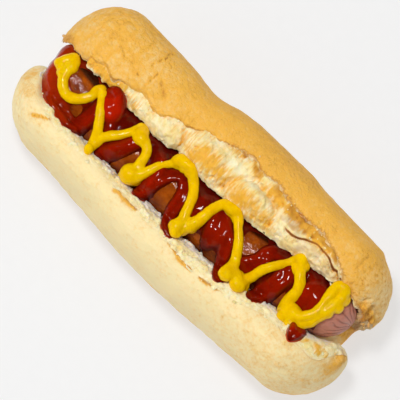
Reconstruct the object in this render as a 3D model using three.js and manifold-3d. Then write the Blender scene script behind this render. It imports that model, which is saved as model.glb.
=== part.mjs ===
// A hot dog: a frankfurter in an opened soft bun, under crossing lines of ketchup and mustard.
// Millimetres. X runs along the bun, Y across it from the low pale half (-Y) to the tall golden
// half (+Y), and Z up from the surface that the bun stands on.

import * as THREE from 'three';
import { mergeVertices } from 'three/addons/utils/BufferGeometryUtils.js';
import Module from 'manifold-3d';

const wasm = await Module();
wasm.setup();

// ---------------------------------------------------------------- driving dimensions

const GAP = 0.3; // clearance between pieces that touch

const SAUSAGE_RADIUS = 10.5;
const SAUSAGE_TIPS = [-69.5, 68.2];
const SAUSAGE_HEIGHT = 28; // of its axis
// The axis as [x, y]: it lies near the middle and bends to the golden half at the right end.
const SAUSAGE_AXIS = [[-64, -1.8], [-39, -4.6], [-9, -4.4], [16, -4.2], [41, -0.6], [61, 2.5], [69, 3.4]];

const BASE_TRIM = 1.5; // how much of the round underside is pressed flat
const END_REACH = 20; // length over which the ends of the bun round off, seen from above
const TOP_REACH = 21; // the same for their upper side, seen from the front
const BASE_REACH = 14; // and for their underside
const END_RINGS = 7; // rings of facets over END_REACH
const FLOOR = [200, 100, 20];
const SKEW = -0.018; // the halves lie slightly turned against the X axis
// Each end of a half has its tip at x, y and, on the inner side, a corner of the given length.
const GOLDEN_HALF = {
  left: { x: -75, y: 12, corner: 4 },
  right: { x: 73.4, y: 13, corner: 8 },
  tipHeight: 19,
  top: 46,
  power: 2.7,
  around: 26,
  along: 38,
};
const PALE_HALF = {
  left: { x: -75.6, y: -9.7, corner: 7 },
  right: { x: 75.6, y: -8.6, corner: 4 },
  tipHeight: 17,
  top: 39,
  power: 2.2,
  around: 18,
  along: 32,
};
const HINGE = {
  left: { x: -68, y: -2, corner: 8 },
  right: { x: 67.5, y: 2, corner: 8 },
  tipHeight: 10,
  top: 21,
  power: 2.6,
  around: 14,
  along: 18,
};

// The torn strip on the golden half, from its lip by the sausage up to the edge of the crust.
const TORN_EDGE = [[-60, 4], [-36, 7.5], [-30, 6], [-9, 14.5], [4, 17], [19, 17.4], [45, 15], [58, 10]];
const TORN_DEPTH = 1.3; // how far the crumb lies under the crust there
// Billows of crumb in the strip as [x, y, length, width, height].
const BILLOWS = [
  [-25, 4, 15, 9, 1.6],
  [-6, 8, 21, 13, 2.6],
  [14.5, 10, 17, 11, 2.2],
  [32, 9.5, 13, 10, 1.8],
  [47, 12.5, 14, 6, 1.2],
];

// A line of sauce is a list of [x, y, turn]. Where turn is more than 0 the line turns back there,
// in a round end of that radius, and one that is clearly wider than the line is a drop of its own.
const DROP_RATIO = 1.3;
const DROP_DEPTH = 1.15; // of a drop, against that of its line
const POINTS_PER_STATION = 5; // heights taken along a line between two of its stations
const KETCHUP = {
  halfWidth: 3.1,
  halfDepth: 1.6,
  sink: 0.3,
  step: 8,
  sides: 8,
  line: [
    [-66, 2.5, 3], [-66.5, -3, 0], [-64, -8, 0], [-60, -12, 3], [-53, -14.5, 0], [-47, -16.5, 3.3],
    [-45, -8, 0], [-43, 0.5, 4.4], [-38, -9, 0], [-33.5, -17, 3.3], [-22, 0.5, 3.3], [-14, -18.5, 3.3],
    [-8, 0, 3.3], [2.5, -18.5, 3.3], [5.5, 1, 3.3], [14, -14, 3.1], [17.5, -1, 3.1], [26, -18, 3.3],
    [33.5, 3.5, 3.3], [39, -15.5, 3.3], [50, 7.5, 3.3], [57.5, -10, 3.3],
  ],
};
const MUSTARD = {
  halfWidth: 1.85,
  halfDepth: 1.75,
  sink: -0.6,
  step: 6.5,
  sides: 6,
  line: [
    [-66.5, -3.5, 2.3], [-63, 1, 2.2], [-61.5, -6, 0], [-56, -11.2, 2.2], [-50, -6.5, 0],
    [-49.5, -0.7, 2], [-43, -7.2, 0], [-37, -17.8, 2], [-34, -8.7, 0], [-29, 1.2, 2.2],
    [-27, -2.2, 2.8], [-22, -5, 0], [-20.5, -15.8, 3.1], [-16.5, -7.2, 0], [-11.4, 2.3, 2.5],
    [-5, 0.8, 0], [1, -8.2, 0], [4, -16.5, 2.6], [7, -7.2, 0], [12.3, 3, 2.3], [21, -3.2, 0],
    [27, -15.5, 2.6], [32.9, -15, 3], [34.4, -7.2, 0], [42.5, 7.4, 2.2], [48.5, -3.2, 0],
    [52.5, -11.8, 3.3], [57.5, -3.2, 0], [58.6, 10.6, 2.3], [62.8, 4.9, 0], [61, -4.2, 0],
    [54.8, -11, 2.4],
  ],
};

// ---------------------------------------------------------------- small helpers

const { clamp, smoothstep } = THREE.MathUtils;

const bell = (value, centre, spread) => Math.exp(-(((value - centre) / spread) ** 2));

/** A smooth curve through stations [x, value], held level past the first and the last. */
function through(stations, x) {
  const next = stations.findIndex(([at]) => at > x);
  if (next === 0) return stations[0][1];
  if (next < 0) return stations[stations.length - 1][1];
  const slope = (i) => {
    const [x0, v0] = stations[Math.max(i - 1, 0)];
    const [x1, v1] = stations[Math.min(i + 1, stations.length - 1)];
    return (v1 - v0) / (x1 - x0);
  };
  const [xa, va] = stations[next - 1];
  const [xb, vb] = stations[next];
  const span = xb - xa;
  const t = (x - xa) / span;
  const rise = t * t * (3 - 2 * t);
  const leave = t * (1 - t) * (1 - t) * slope(next - 1) * span;
  const arrive = t * t * (1 - t) * slope(next) * span;
  return va + (vb - va) * rise + leave - arrive;
}

/** Rises from 0 at a tip to 1 at reach along a quarter ellipse. */
const quarterRound = (distance, reach) =>
  Math.sqrt(1 - clamp(1 - distance / reach, 0, 1) ** 2);

/** One coordinate of a superellipse of radius 1, from the sine or the cosine of the angle. */
const squared = (value, power) => Math.sign(value) * Math.abs(value) ** (2 / power);

/** A closed geometry with its doubled vertices merged and each vertex moved to where place() says. */
function reshape(geometry, place) {
  geometry.deleteAttribute('normal');
  geometry.deleteAttribute('uv');
  const merged = mergeVertices(geometry, 1e-4);
  const position = merged.attributes.position;
  const vertex = new THREE.Vector3();
  for (let i = 0; i < position.count; i += 1) {
    const moved = place(vertex.fromBufferAttribute(position, i));
    position.setXYZ(i, moved.x, moved.y, moved.z);
  }
  return merged;
}

/** A closed, merged geometry as a solid that can be joined and cut. */
function solid({ index, attributes }) {
  const corners = index.array;
  const kept = [];
  for (let i = 0; i < corners.length; i += 3) {
    const [a, b, c] = [corners[i], corners[i + 1], corners[i + 2]];
    if (a !== b && b !== c && c !== a) kept.push(a, b, c);
  }
  const vertProperties = new Float32Array(attributes.position.array);
  const triVerts = new Uint32Array(kept);
  return new wasm.Manifold(new wasm.Mesh({ numProp: 3, vertProperties, triVerts }));
}

/** The one connected piece with the most volume. */
function mainPiece(joined) {
  const pieces = joined.decompose();
  return pieces.reduce((best, piece) => (piece.volume() > best.volume() ? piece : best));
}

/** A named mesh of a solid, with its own finish. */
function mesh(name, shape, finish) {
  const { vertProperties, triVerts } = shape.getMesh();
  const geometry = new THREE.BufferGeometry();
  geometry.setAttribute('position', new THREE.BufferAttribute(new Float32Array(vertProperties), 3));
  geometry.setIndex(new THREE.BufferAttribute(new Uint32Array(triVerts), 1));
  geometry.computeVertexNormals();
  const made = new THREE.Mesh(geometry, new THREE.MeshStandardMaterial(finish));
  made.name = name;
  made.updateMatrixWorld();
  return made;
}

// ---------------------------------------------------------------- sausage

const sausageY = (x) => through(SAUSAGE_AXIS, x);

/** A round bar with domed ends along the sausage's axis; reach is how far it runs past its tips. */
function sausageBar(grow, reach = 0) {
  const radius = SAUSAGE_RADIUS + grow;
  const start = SAUSAGE_TIPS[0] - grow - reach + radius;
  const end = SAUSAGE_TIPS[1] + grow + reach - radius;
  const bar = new THREE.CapsuleGeometry(radius, end - start, 4, 20, 14);
  return reshape(bar, ({ x, y, z }) => {
    const along = y + (start + end) / 2;
    return new THREE.Vector3(along, sausageY(along) - x, SAUSAGE_HEIGHT + z);
  });
}

// ---------------------------------------------------------------- bun

/** Rise of the torn crumb over or under the even outside of the golden half. */
function tornRelief(x, y) {
  const edge = through(TORN_EDGE, x);
  const past = smoothstep(y, edge - 1.5, edge + 1.5);
  const ends = smoothstep(x, -64, -54) * (1 - smoothstep(x, 54, 62));
  const billow = BILLOWS.reduce(
    (sum, [cx, cy, length, width, height]) =>
      sum + height * bell(x, cx, length / 2.4) * bell(y, cy, width / 2.4),
    0,
  );
  return (billow - TORN_DEPTH) * (1 - past) * ends;
}

/** Where along a lobe a share of its rings has come to; the rings lie closer at both ends. */
function ringPlace(share, { left, right, along }) {
  const endShare = END_RINGS / along;
  const curl = (part) => END_REACH * (1 - Math.cos((part / endShare) * (Math.PI / 2)));
  if (share < endShare) return left.x + curl(share);
  if (share > 1 - endShare) return right.x - curl(1 - share);
  const straight = (share - endShare) / (1 - 2 * endShare);
  return left.x + END_REACH + straight * (right.x - left.x - 2 * END_REACH);
}

/**
 * A half of the bun, or its hinge: a sphere whose poles become the two ends, drawn out to the given
 * inner and outer sides. Sections are superellipses of the given power.
 */
function lobe(shape, sides, relief, grow) {
  const ball = new THREE.SphereGeometry(1, shape.around, shape.along);
  const { left, right, tipHeight, power } = shape;
  return reshape(ball, (p) => {
    const share = 1 - Math.acos(clamp(p.y, -1, 1)) / Math.PI;
    const x = ringPlace(share, shape);
    const tip = x < 0 ? left : right;
    const distance = Math.abs(tip.x - x);
    const inner = tip.y + (sides.inner(x) - tip.y) * quarterRound(distance, tip.corner);
    const outer = tip.y + (sides.outer(x) - tip.y) * quarterRound(distance, END_REACH);
    const top = tipHeight + (shape.top - tipHeight) * quarterRound(distance, TOP_REACH);
    const base = tipHeight - (tipHeight + BASE_TRIM) * quarterRound(distance, BASE_REACH);
    const angle = Math.atan2(p.z, -p.x);
    const across = squared(Math.cos(angle), power);
    const up = squared(Math.sin(angle), power);
    const spread = new THREE.Vector2(across * Math.abs(outer - inner), up * (top - base)).divideScalar(2);
    const outward = new THREE.Vector2(spread.x * (top - base) ** 2, spread.y * (outer - inner) ** 2);
    const rise = relief(x, (inner + outer) / 2 + spread.x) * smoothstep(up, 0, 0.4);
    spread.addScaledVector(outward.normalize(), grow + rise);
    const lengthen = distance < 1e-6 ? Math.sign(tip.x) * grow : 0;
    return new THREE.Vector3(x + lengthen, (inner + outer) / 2 + spread.x, (top + base) / 2 + spread.y);
  });
}

const level = () => 0;

function goldenHalf(grow) {
  const sides = {
    inner: (x) => sausageY(x) + 3.5,
    outer: (x) => 30.2 + SKEW * x + 2.2 * bell(x, 14, 28) - 2.7 * bell(x, -20, 10),
  };
  return solid(lobe(GOLDEN_HALF, sides, tornRelief, grow));
}

function paleHalf(grow) {
  // It closes in behind both ends of the sausage.
  const embrace = (x) => 8 * smoothstep(-x, 62, 71) + 3.5 * smoothstep(x, 60, 72);
  const sides = {
    inner: (x) => sausageY(x) - 9.5 + embrace(x),
    outer: (x) => -28.3 + SKEW * x - 3.8 * bell(x, 0, 40),
  };
  return solid(lobe(PALE_HALF, sides, level, grow));
}

function hinge(grow) {
  const sides = {
    inner: (x) => 21 + sausageY(x),
    outer: (x) => -22 + sausageY(x) / 2,
  };
  return solid(lobe(HINGE, sides, level, grow));
}

const bunBody = (grow) => goldenHalf(grow).add(paleHalf(grow)).add(hinge(grow));

/** The bun, cut for the sausage and trimmed flat where it stands. */
function bun() {
  const floor = reshape(new THREE.BoxGeometry(...FLOOR), (p) => p.setZ(p.z - FLOOR[2] / 2));
  return mainPiece(bunBody(0).subtract(solid(sausageBar(GAP, 1))).subtract(solid(floor)));
}

// ---------------------------------------------------------------- sauces

/** Height of the highest surface at or close to a place, seen from above. */
function surfaceHeight(carriers, x, y) {
  const ray = new THREE.Raycaster(new THREE.Vector3(), new THREE.Vector3(0, 0, -1));
  const around = [[0, 0], [1, 0], [-1, 0], [0, 1], [0, -1]];
  const heights = around.map(([dx, dy]) => {
    ray.ray.origin.set(x + dx, y + dy, 100);
    const hits = ray.intersectObjects(carriers);
    return hits.length ? hits[0].point.z : 0;
  });
  return Math.max(...heights);
}

/** One stretch of sauce: a flattened bar with round ends along a curve. */
function strand(curve, sauce, grow) {
  const length = curve.getLength();
  const steps = Math.max(2, Math.round(length / sauce.step));
  const bar = new THREE.CapsuleGeometry(1, length, 2, sauce.sides, steps);
  return reshape(bar, ({ x, y, z }) => {
    const share = clamp(y / length + 0.5, 0, 1);
    const past = y - (share - 0.5) * length;
    const along = curve.getTangentAt(share);
    const across = new THREE.Vector3(0, 0, 1).cross(along).normalize();
    const up = along.clone().cross(across);
    const halfWidth = sauce.halfWidth + grow;
    return curve
      .getPointAt(share)
      .addScaledVector(along, past * halfWidth)
      .addScaledVector(across, -x * halfWidth)
      .addScaledVector(up, z * (sauce.halfDepth + grow));
  });
}

/** A whole line of sauce, laid over its carriers. */
function sauceLine(sauce, carriers, grow) {
  const { line, sink, halfWidth, halfDepth } = sauce;
  const plan = new THREE.CatmullRomCurve3(line.map(([x, y]) => new THREE.Vector3(x, y, 0)));
  const laid = ({ x, y }) => new THREE.Vector3(x, y, surfaceHeight(carriers, x, y) - sink);
  const planAt = (place) => plan.getPoint(place / (line.length - 1));
  const turns = line.map(([, , turn], i) => (turn > 0 ? i : -1)).filter((i) => i >= 0);
  const pieces = turns.slice(1).map((to, i) => {
    const from = turns[i];
    const count = (to - from) * POINTS_PER_STATION;
    const places = Array.from({ length: count + 1 }, (_, k) => from + k / POINTS_PER_STATION);
    const curve = new THREE.CatmullRomCurve3(places.map((place) => laid(planAt(place))));
    return solid(strand(curve, sauce, grow));
  });
  const drops = turns.filter((i) => line[i][2] > DROP_RATIO * halfWidth).map((i) => {
    const radius = line[i][2] + grow;
    const centre = laid(planAt(i));
    const size = new THREE.Vector3(radius, radius, DROP_DEPTH * halfDepth + grow);
    const drop = new THREE.SphereGeometry(1, 8, 5).rotateX(Math.PI / 2);
    return solid(reshape(drop, (p) => p.multiply(size).add(centre)));
  });
  return [...pieces, ...drops].reduce((joined, piece) => joined.add(piece));
}

// ---------------------------------------------------------------- assembly

const group = new THREE.Group();

const bunMesh = mesh('bun', bun(), { color: 0xe8bc74, roughness: 0.7, metalness: 0 });
const sausage = solid(sausageBar(0));
const sausageMesh = mesh('sausage', sausage, { color: 0x9b4a22, roughness: 0.35, metalness: 0 });
const carriers = [bunMesh, sausageMesh];
const below = bunBody(GAP).add(solid(sausageBar(GAP)));

const ketchup = mainPiece(sauceLine(KETCHUP, carriers, 0).subtract(below));
const ketchupMesh = mesh('ketchup', ketchup, { color: 0x9c2410, roughness: 0.2, metalness: 0 });

const overKetchup = [...carriers, ketchupMesh];
const mustardCut = below.add(sauceLine(KETCHUP, carriers, GAP));
const mustard = mainPiece(sauceLine(MUSTARD, overKetchup, 0).subtract(mustardCut));
const mustardMesh = mesh('mustard', mustard, { color: 0xe9c500, roughness: 0.25, metalness: 0 });

group.add(bunMesh, sausageMesh, ketchupMesh, mustardMesh);

export default group;
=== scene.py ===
"""A hot dog: a frankfurter in an opened soft bun, under crossing lines of ketchup and mustard.

Sizes are in millimetres until a mesh is made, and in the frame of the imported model: X runs along the
bun, Y across it from the low pale half to the tall golden half, and Z up from the floor. Only the
floor and the lamps of the stage are given in metres.
"""

import math

import bpy
import numpy as np
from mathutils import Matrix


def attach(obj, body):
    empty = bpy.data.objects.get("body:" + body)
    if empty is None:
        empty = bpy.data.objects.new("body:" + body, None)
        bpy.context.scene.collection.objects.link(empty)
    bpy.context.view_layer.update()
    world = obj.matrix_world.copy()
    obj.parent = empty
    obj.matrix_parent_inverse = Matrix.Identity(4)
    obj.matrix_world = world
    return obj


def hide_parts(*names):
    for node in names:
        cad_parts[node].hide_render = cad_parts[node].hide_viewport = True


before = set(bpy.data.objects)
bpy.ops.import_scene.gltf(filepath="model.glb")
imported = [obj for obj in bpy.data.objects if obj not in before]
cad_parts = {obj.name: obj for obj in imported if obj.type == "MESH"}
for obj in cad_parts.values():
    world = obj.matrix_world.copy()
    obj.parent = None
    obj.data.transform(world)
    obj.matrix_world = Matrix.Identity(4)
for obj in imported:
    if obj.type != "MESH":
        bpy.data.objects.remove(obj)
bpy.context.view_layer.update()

import openvdb
from mathutils import Vector
from mathutils.bvhtree import BVHTree

bl_info = {
    "name": "Hot dog",
    "version": (1, 0, 0),
    "blender": (4, 5, 0),
    "location": "3D View > Sidebar > Hot dog",
    "description": "Builds a hot dog with a torn bun, a frankfurter, ketchup and mustard",
    "category": "Add Mesh",
}

MM = 0.001

# ---------------------------------------------------------------- forms of the solids

SAUSAGE_RADIUS = 10.5
SAUSAGE_TIPS = (-69.5, 68.2)
SAUSAGE_HEIGHT = 28.0
SAUSAGE_AXIS = [[-64, -1.8], [-39, -4.6], [-9, -4.4], [16, -4.2], [41, -0.6], [61, 2.5], [69, 3.4]]
# How much of the base is cut flat, and how far the golden lip stands off the sausage.
BASE_TRIM = 1.5
LIP_GAP = 1.6
# How far from a tip the outer side, the top and the base reach their full size.
END_REACH = 20.0
TOP_REACH = 21.0
BASE_REACH = 14.0
# How the outer sides drift across the bun for each millimetre along it.
SKEW = -0.018
# Tip of each end as x, y and the length of its inner corner; height of the tips; top; squareness.
GOLDEN_HALF = {"left": (-75, 12, 4), "right": (73.4, 13, 8), "tip": 19, "top": 46, "power": 2.7}
PALE_HALF = {"left": (-75.6, -9.7, 7), "right": (75.6, -8.6, 4), "tip": 17, "top": 39, "power": 2.2}
HINGE = {"left": (-68, -2, 8), "right": (67.5, 2, 8), "tip": 10, "top": 21, "power": 2.6}

# How far the inner sides stand off the sausage's middle, and where the outer sides lie across the bun.
GOLDEN_INNER, GOLDEN_OUTER = 3.5, 30.2
PALE_INNER, PALE_OUTER = -9.5, -28.3
HINGE_INNER, HINGE_OUTER = 21, -22
# The channel's play round the sausage.
CHANNEL_PLAY = 0.15
# The hollow in the golden half's left end: its far end, its side and the lean of that, and the rim
# over it, as the height at the tip, the rise from there and how far the rise reaches.
HOLLOW_END = -67
HOLLOW_SIDE, HOLLOW_LEAN = 11.8, 0.19
RIM_START, RIM_RISE, RIM_REACH = 15, 27, 21
# Two corners of the block of places that each piece is worked out in.
BUN_BLOCK = ((-78, -35, -2), (78, 36, 49))
FAR_CRUMB_BLOCK = ((-66, -6, 22), (62, 21, 49))
NEAR_CRUMB_BLOCK = ((-72, -25, 18), (72, 2, 44))
KETCHUP_BLOCK = ((-75, -24, 14), (66, 13, 47))

# ---------------------------------------------------------------- the torn crumb

# Lower edge of the golden crust, above the torn strip.
CRUST_EDGE = [
    [-64, 3.4], [-60, 4.4], [-56.8, 5.4], [-51.9, 5.6], [-47.3, 5.5], [-45.4, 6.9], [-41.4, 7.0],
    [-36.2, 8.1], [-30.2, 6.7], [-27.1, 6.9], [-25.0, 8.2], [-22.0, 10.1], [-18.0, 10.6], [-12.9, 12.8],
    [-8.9, 14.3], [-5.8, 14.8], [-0.9, 16.2], [4.1, 16.9], [8.2, 17.6], [11.2, 16.0], [19.3, 16.8],
    [24.2, 15.3], [34.3, 14.7], [42.3, 15.0], [54.1, 11.1], [60, 8],
]
# Outer edge of the crumb band on the pale half.
PALE_EDGE = [
    [-70, -9], [-62.8, -14.3], [-57.1, -18.3], [-51.9, -19.8], [-41.9, -20.7], [-26.8, -20.2],
    [-18.8, -20.3], [-10.7, -20.8], [-1.6, -21.2], [6.5, -21.7], [17.6, -22.6], [22.6, -22.3],
    [29.6, -21.4], [37.7, -19.4], [45.5, -16.4], [53.6, -15.5], [61.5, -15.6], [68.7, -14.4],
    [73.4, -8.2],
]
# Where the torn strip on the golden half starts and is whole, and where it thins and ends.
STRIP_LEFT = (-62, -56)
STRIP_RIGHT = (55, 61)
TORN_DEPTH = 1.3
# How deep the crumb's layers are rooted in the bun, how low they reach, and their two ends.
FAR_ROOT, FAR_LOWEST, FAR_ENDS = 3.5, 24, (-64, 60)
NEAR_ROOT, NEAR_LOWEST, NEAR_ENDS = 3.0, 20, (-69.5, 71.5)
# Billows of crumb as x, y, length, width, height.
BILLOWS = [
    (-57, 1.5, 18, 8, 1.4), (-40, 4, 14, 6, 1.0), (-25, 4, 15, 9, 2.0), (-6, 8, 21, 14, 3.4),
    (15.5, 8.5, 19, 11, 3.2), (33, 9, 14, 10, 2.4), (47, 12.5, 14, 6, 1.6),
]
# The seam where the crumb folds over itself, and the hollows between billows.
FOLD = [[31.3, 8.8], [35.1, 8.9], [39.2, 10.7], [44.3, 12.1], [50.3, 11.5], [54.0, 10.5], [56.8, 9.7]]
VALLEYS = [
    [[5.0, 5.0], [6.0, 7.8], [8.5, 11.0], [11.3, 13.0], [14.3, 13.4], [21.2, 12.4], [24.2, 11.4]],
    [[24.2, 11.4], [26.1, 8.8], [25.9, 6.9]],
    [[-17.0, 9.0], [-15.0, 5.5], [-15.5, 3.0]],
]
# Fine lines on the crust: cracks, pressed creases, a pressed dent and scuffed marks.
CRACKS = [
    [[-40.0, 26.2], [-40.1, 20.6], [-40.8, 16.9]], [[-37.8, 16.4], [-38.1, 9.9]],
    [[-52.9, 14.0], [-48.8, 12.9], [-46.8, 12.6]], [[-44.8, 11.8], [-41.7, 11.4]],
]
CREASES = [[[-59.2, -22.2], [-56.0, -20.6], [-53.0, -18.7]], [[58.1, 22.5], [58.3, 16.8]]]
DENT = [[-34.8, 15.2], [-30.4, 12.4]]
SKIN_MARKS = [
    [[-20.5, -21.2], [-14.7, -21.6], [-10.7, -21.0]], [[6.0, -21.6], [12.5, -23.0], [17.6, -22.8]],
    [[22.0, -22.6], [26.6, -21.8], [30.0, -20.8]],
]
# Golden streaks on the crumb and browner spots on the crust, as x, y, length, width, strength.
STREAKS = [
    (-5, 6.8, 26, 10, 0.75), (15.5, 5.8, 22, 9, 0.7), (-7, 8.2, 3, 6, 0.25), (-2.5, 7.5, 3, 6, 0.3),
    (1.5, 7.5, 3, 6, 0.25), (-9, 4.5, 6, 4, 0.3), (12, 4.6, 4, 5, 0.3), (25, 6.5, 8, 5, 0.35),
    (-46, 4.2, 16, 5, 0.8), (-36, 3.8, 6, 5, 0.45), (21, 14.5, 16, 4, 0.6), (40, 13.8, 26, 5, 0.95),
    (-57, 4.5, 14, 5, 0.9),
    (67, -8.5, 14, 10, 1.0), (-66, -12, 8, 8, 0.3),
]
PALE_SPOTS = [
    (-71.6, -11.5, 6, 9, 0.34), (-67.1, -17.0, 9, 6, 0.24), (-57.1, -22.1, 9, 5, 0.15),
    (74, -9, 5, 16, 0.4), (72.5, -4.0, 6, 5, 0.7), (66, -12, 10, 6, 0.3), (-15, -22.5, 9, 2.5, 0.15),
    (12, -23.6, 12, 2.5, 0.15),
]

# ---------------------------------------------------------------- the sauces

# How far sauce reaches into what it lies on.
SAUCE_ROOT = 0.9
# Lines of ketchup as x, y, half width, depth.
KETCHUP_LINES = [
    [
        (-67.6, 3.7, 1.9, 1.3), (-67.2, -1.2, 2.2, 1.5), (-66.4, -5.8, 2.5, 1.7), (-63.4, -9.3, 2.8, 1.8),
        (-59.8, -11.9, 3.0, 1.8), (-55.6, -13.2, 2.7, 1.7), (-49.9, -14.9, 2.5, 1.7),
        (-46.5, -14.1, 2.8, 1.9), (-45.2, -11.0, 2.8, 1.9), (-44.8, -7.4, 2.6, 1.8), (-44.0, -2.9, 2.8, 1.8),
    ],
    [
        (-40.7, -2.5, 2.6, 1.4), (-37.5, -7.0, 2.6, 1.2), (-36.2, -12.1, 2.2, 1.4), (-34.4, -14.6, 2.3, 1.8),
        (-31.7, -12.6, 2.7, 1.9), (-29.0, -8.6, 2.8, 1.9), (-27.4, -4.8, 2.7, 1.8), (-25.1, -0.4, 2.5, 1.5),
        (-21.7, 0.7, 2.2, 1.3), (-18.0, -1.3, 2.4, 1.4), (-15.3, -5.0, 2.8, 1.8), (-14.2, -9.8, 3.0, 2.0),
        (-14.3, -14.7, 2.9, 2.0),
    ],
    [
        (-14.3, -14.7, 2.6, 1.9), (-12.5, -8.9, 2.4, 1.9), (-10.3, -4.1, 2.2, 1.5), (-7.1, -1.8, 2.2, 1.4),
        (-4.1, -4.2, 2.3, 1.6), (-2.5, -7.6, 2.4, 1.8), (-2.0, -11.7, 2.5, 1.9), (-1.0, -14.9, 2.4, 1.9),
        (1.4, -17.7, 2.0, 1.6), (4.3, -19.1, 1.2, 1.0),
    ],
    [
        (1.2, -17.7, 1.8, 1.4), (4.1, -11.8, 2.4, 1.4), (5.5, -7.3, 2.6, 1.4), (4.7, -2.3, 3.4, 1.3),
        (6.5, 0.6, 2.4, 1.3), (11.3, -1.8, 3.0, 1.6), (14.4, -6.4, 4.6, 2.1), (14.2, -10.4, 3.0, 1.7),
        (14.0, -12.9, 1.4, 1.0),
    ],
    [
        (15.4, -5.0, 3.2, 1.8), (19.1, -7.0, 2.7, 1.8), (21.3, -10.6, 2.4, 1.8), (23.2, -14.2, 2.3, 1.8),
        (26.3, -17.8, 2.1, 1.7), (27.6, -13.1, 2.2, 1.5), (29.1, -9.4, 3.0, 1.7), (31.8, -4.8, 2.8, 1.8),
        (32.6, 0.4, 2.9, 1.9), (36.1, 3.4, 2.4, 1.5), (39.8, 2.7, 2.4, 1.5), (41.8, -1.5, 3.0, 1.9),
        (41.4, -6.7, 3.2, 2.1), (39.8, -11.2, 3.2, 1.9), (38.6, -13.6, 2.6, 1.4),
    ],
    [
        (41.4, -6.7, 2.8, 1.5), (44.5, 1.5, 2.4, 1.3), (47.1, 6.0, 2.6, 1.6), (51.9, 4.0, 3.4, 1.9),
        (53.0, -1.1, 4.6, 2.2), (53.6, -4.9, 3.2, 1.8), (55.2, -8.8, 2.4, 1.7), (57.7, -11.8, 2.9, 2.4),
        (58.2, -13.8, 2.3, 2.2), (58.5, -15.9, 1.1, 1.2),
    ],
]
# The drop of ketchup that lies over the golden lip, as x, y, half width, depth.
KETCHUP_DROP = [
    (-43.9, 0.6, 3.3, 2.2), (-42.8, -0.7, 4.0, 2.9), (-41.6, -2.1, 4.0, 3.1), (-40.4, -3.4, 3.2, 2.6),
]
# How much wider than their stations the lines and the drop lie.
LINE_SPREAD = 1.1
DROP_SPREAD = 1.25
# How square the lines and the drop are across, and how high the ridges along a line are.
LINE_SQUARENESS, DROP_SQUARENESS = 2.9, 2.2
LINE_RIDGES = 0.13
# The lump at the left tip as its middle and its reach along each axis.
TIP_LUMP = [(-66.4, 4.2), (2.6, 4.6), (29.5, 6.5)]
# The film's depth, how far it reaches to both sides of the sausage's middle, and its two ends.
FILM_DEPTH = 0.6
FILM_REACH = 9.6
FILM_ENDS = (-72, 60.5)
# Over what distance from its edge the film comes to its depth, and how low ketchup hangs down.
FILM_EDGE = 1.6
KETCHUP_LOWEST = 24
# Where the sausage shows through the film of ketchup, as x, y, half length, half width.
BARE_SKIN = [
    (-54.6, -1.7, 5.0, 4.8), (-50.2, -10.6, 2.0, 2.6), (-40.8, -14.6, 2.4, 3.2), (-25.4, -11.2, 3.6, 6.0),
    (-6.9, -9.6, 3.8, 7.4), (14.1, -14.4, 9.5, 3.0), (26.8, -1.6, 4.4, 5.2), (44.6, -8.8, 2.6, 5.0),
]
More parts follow.
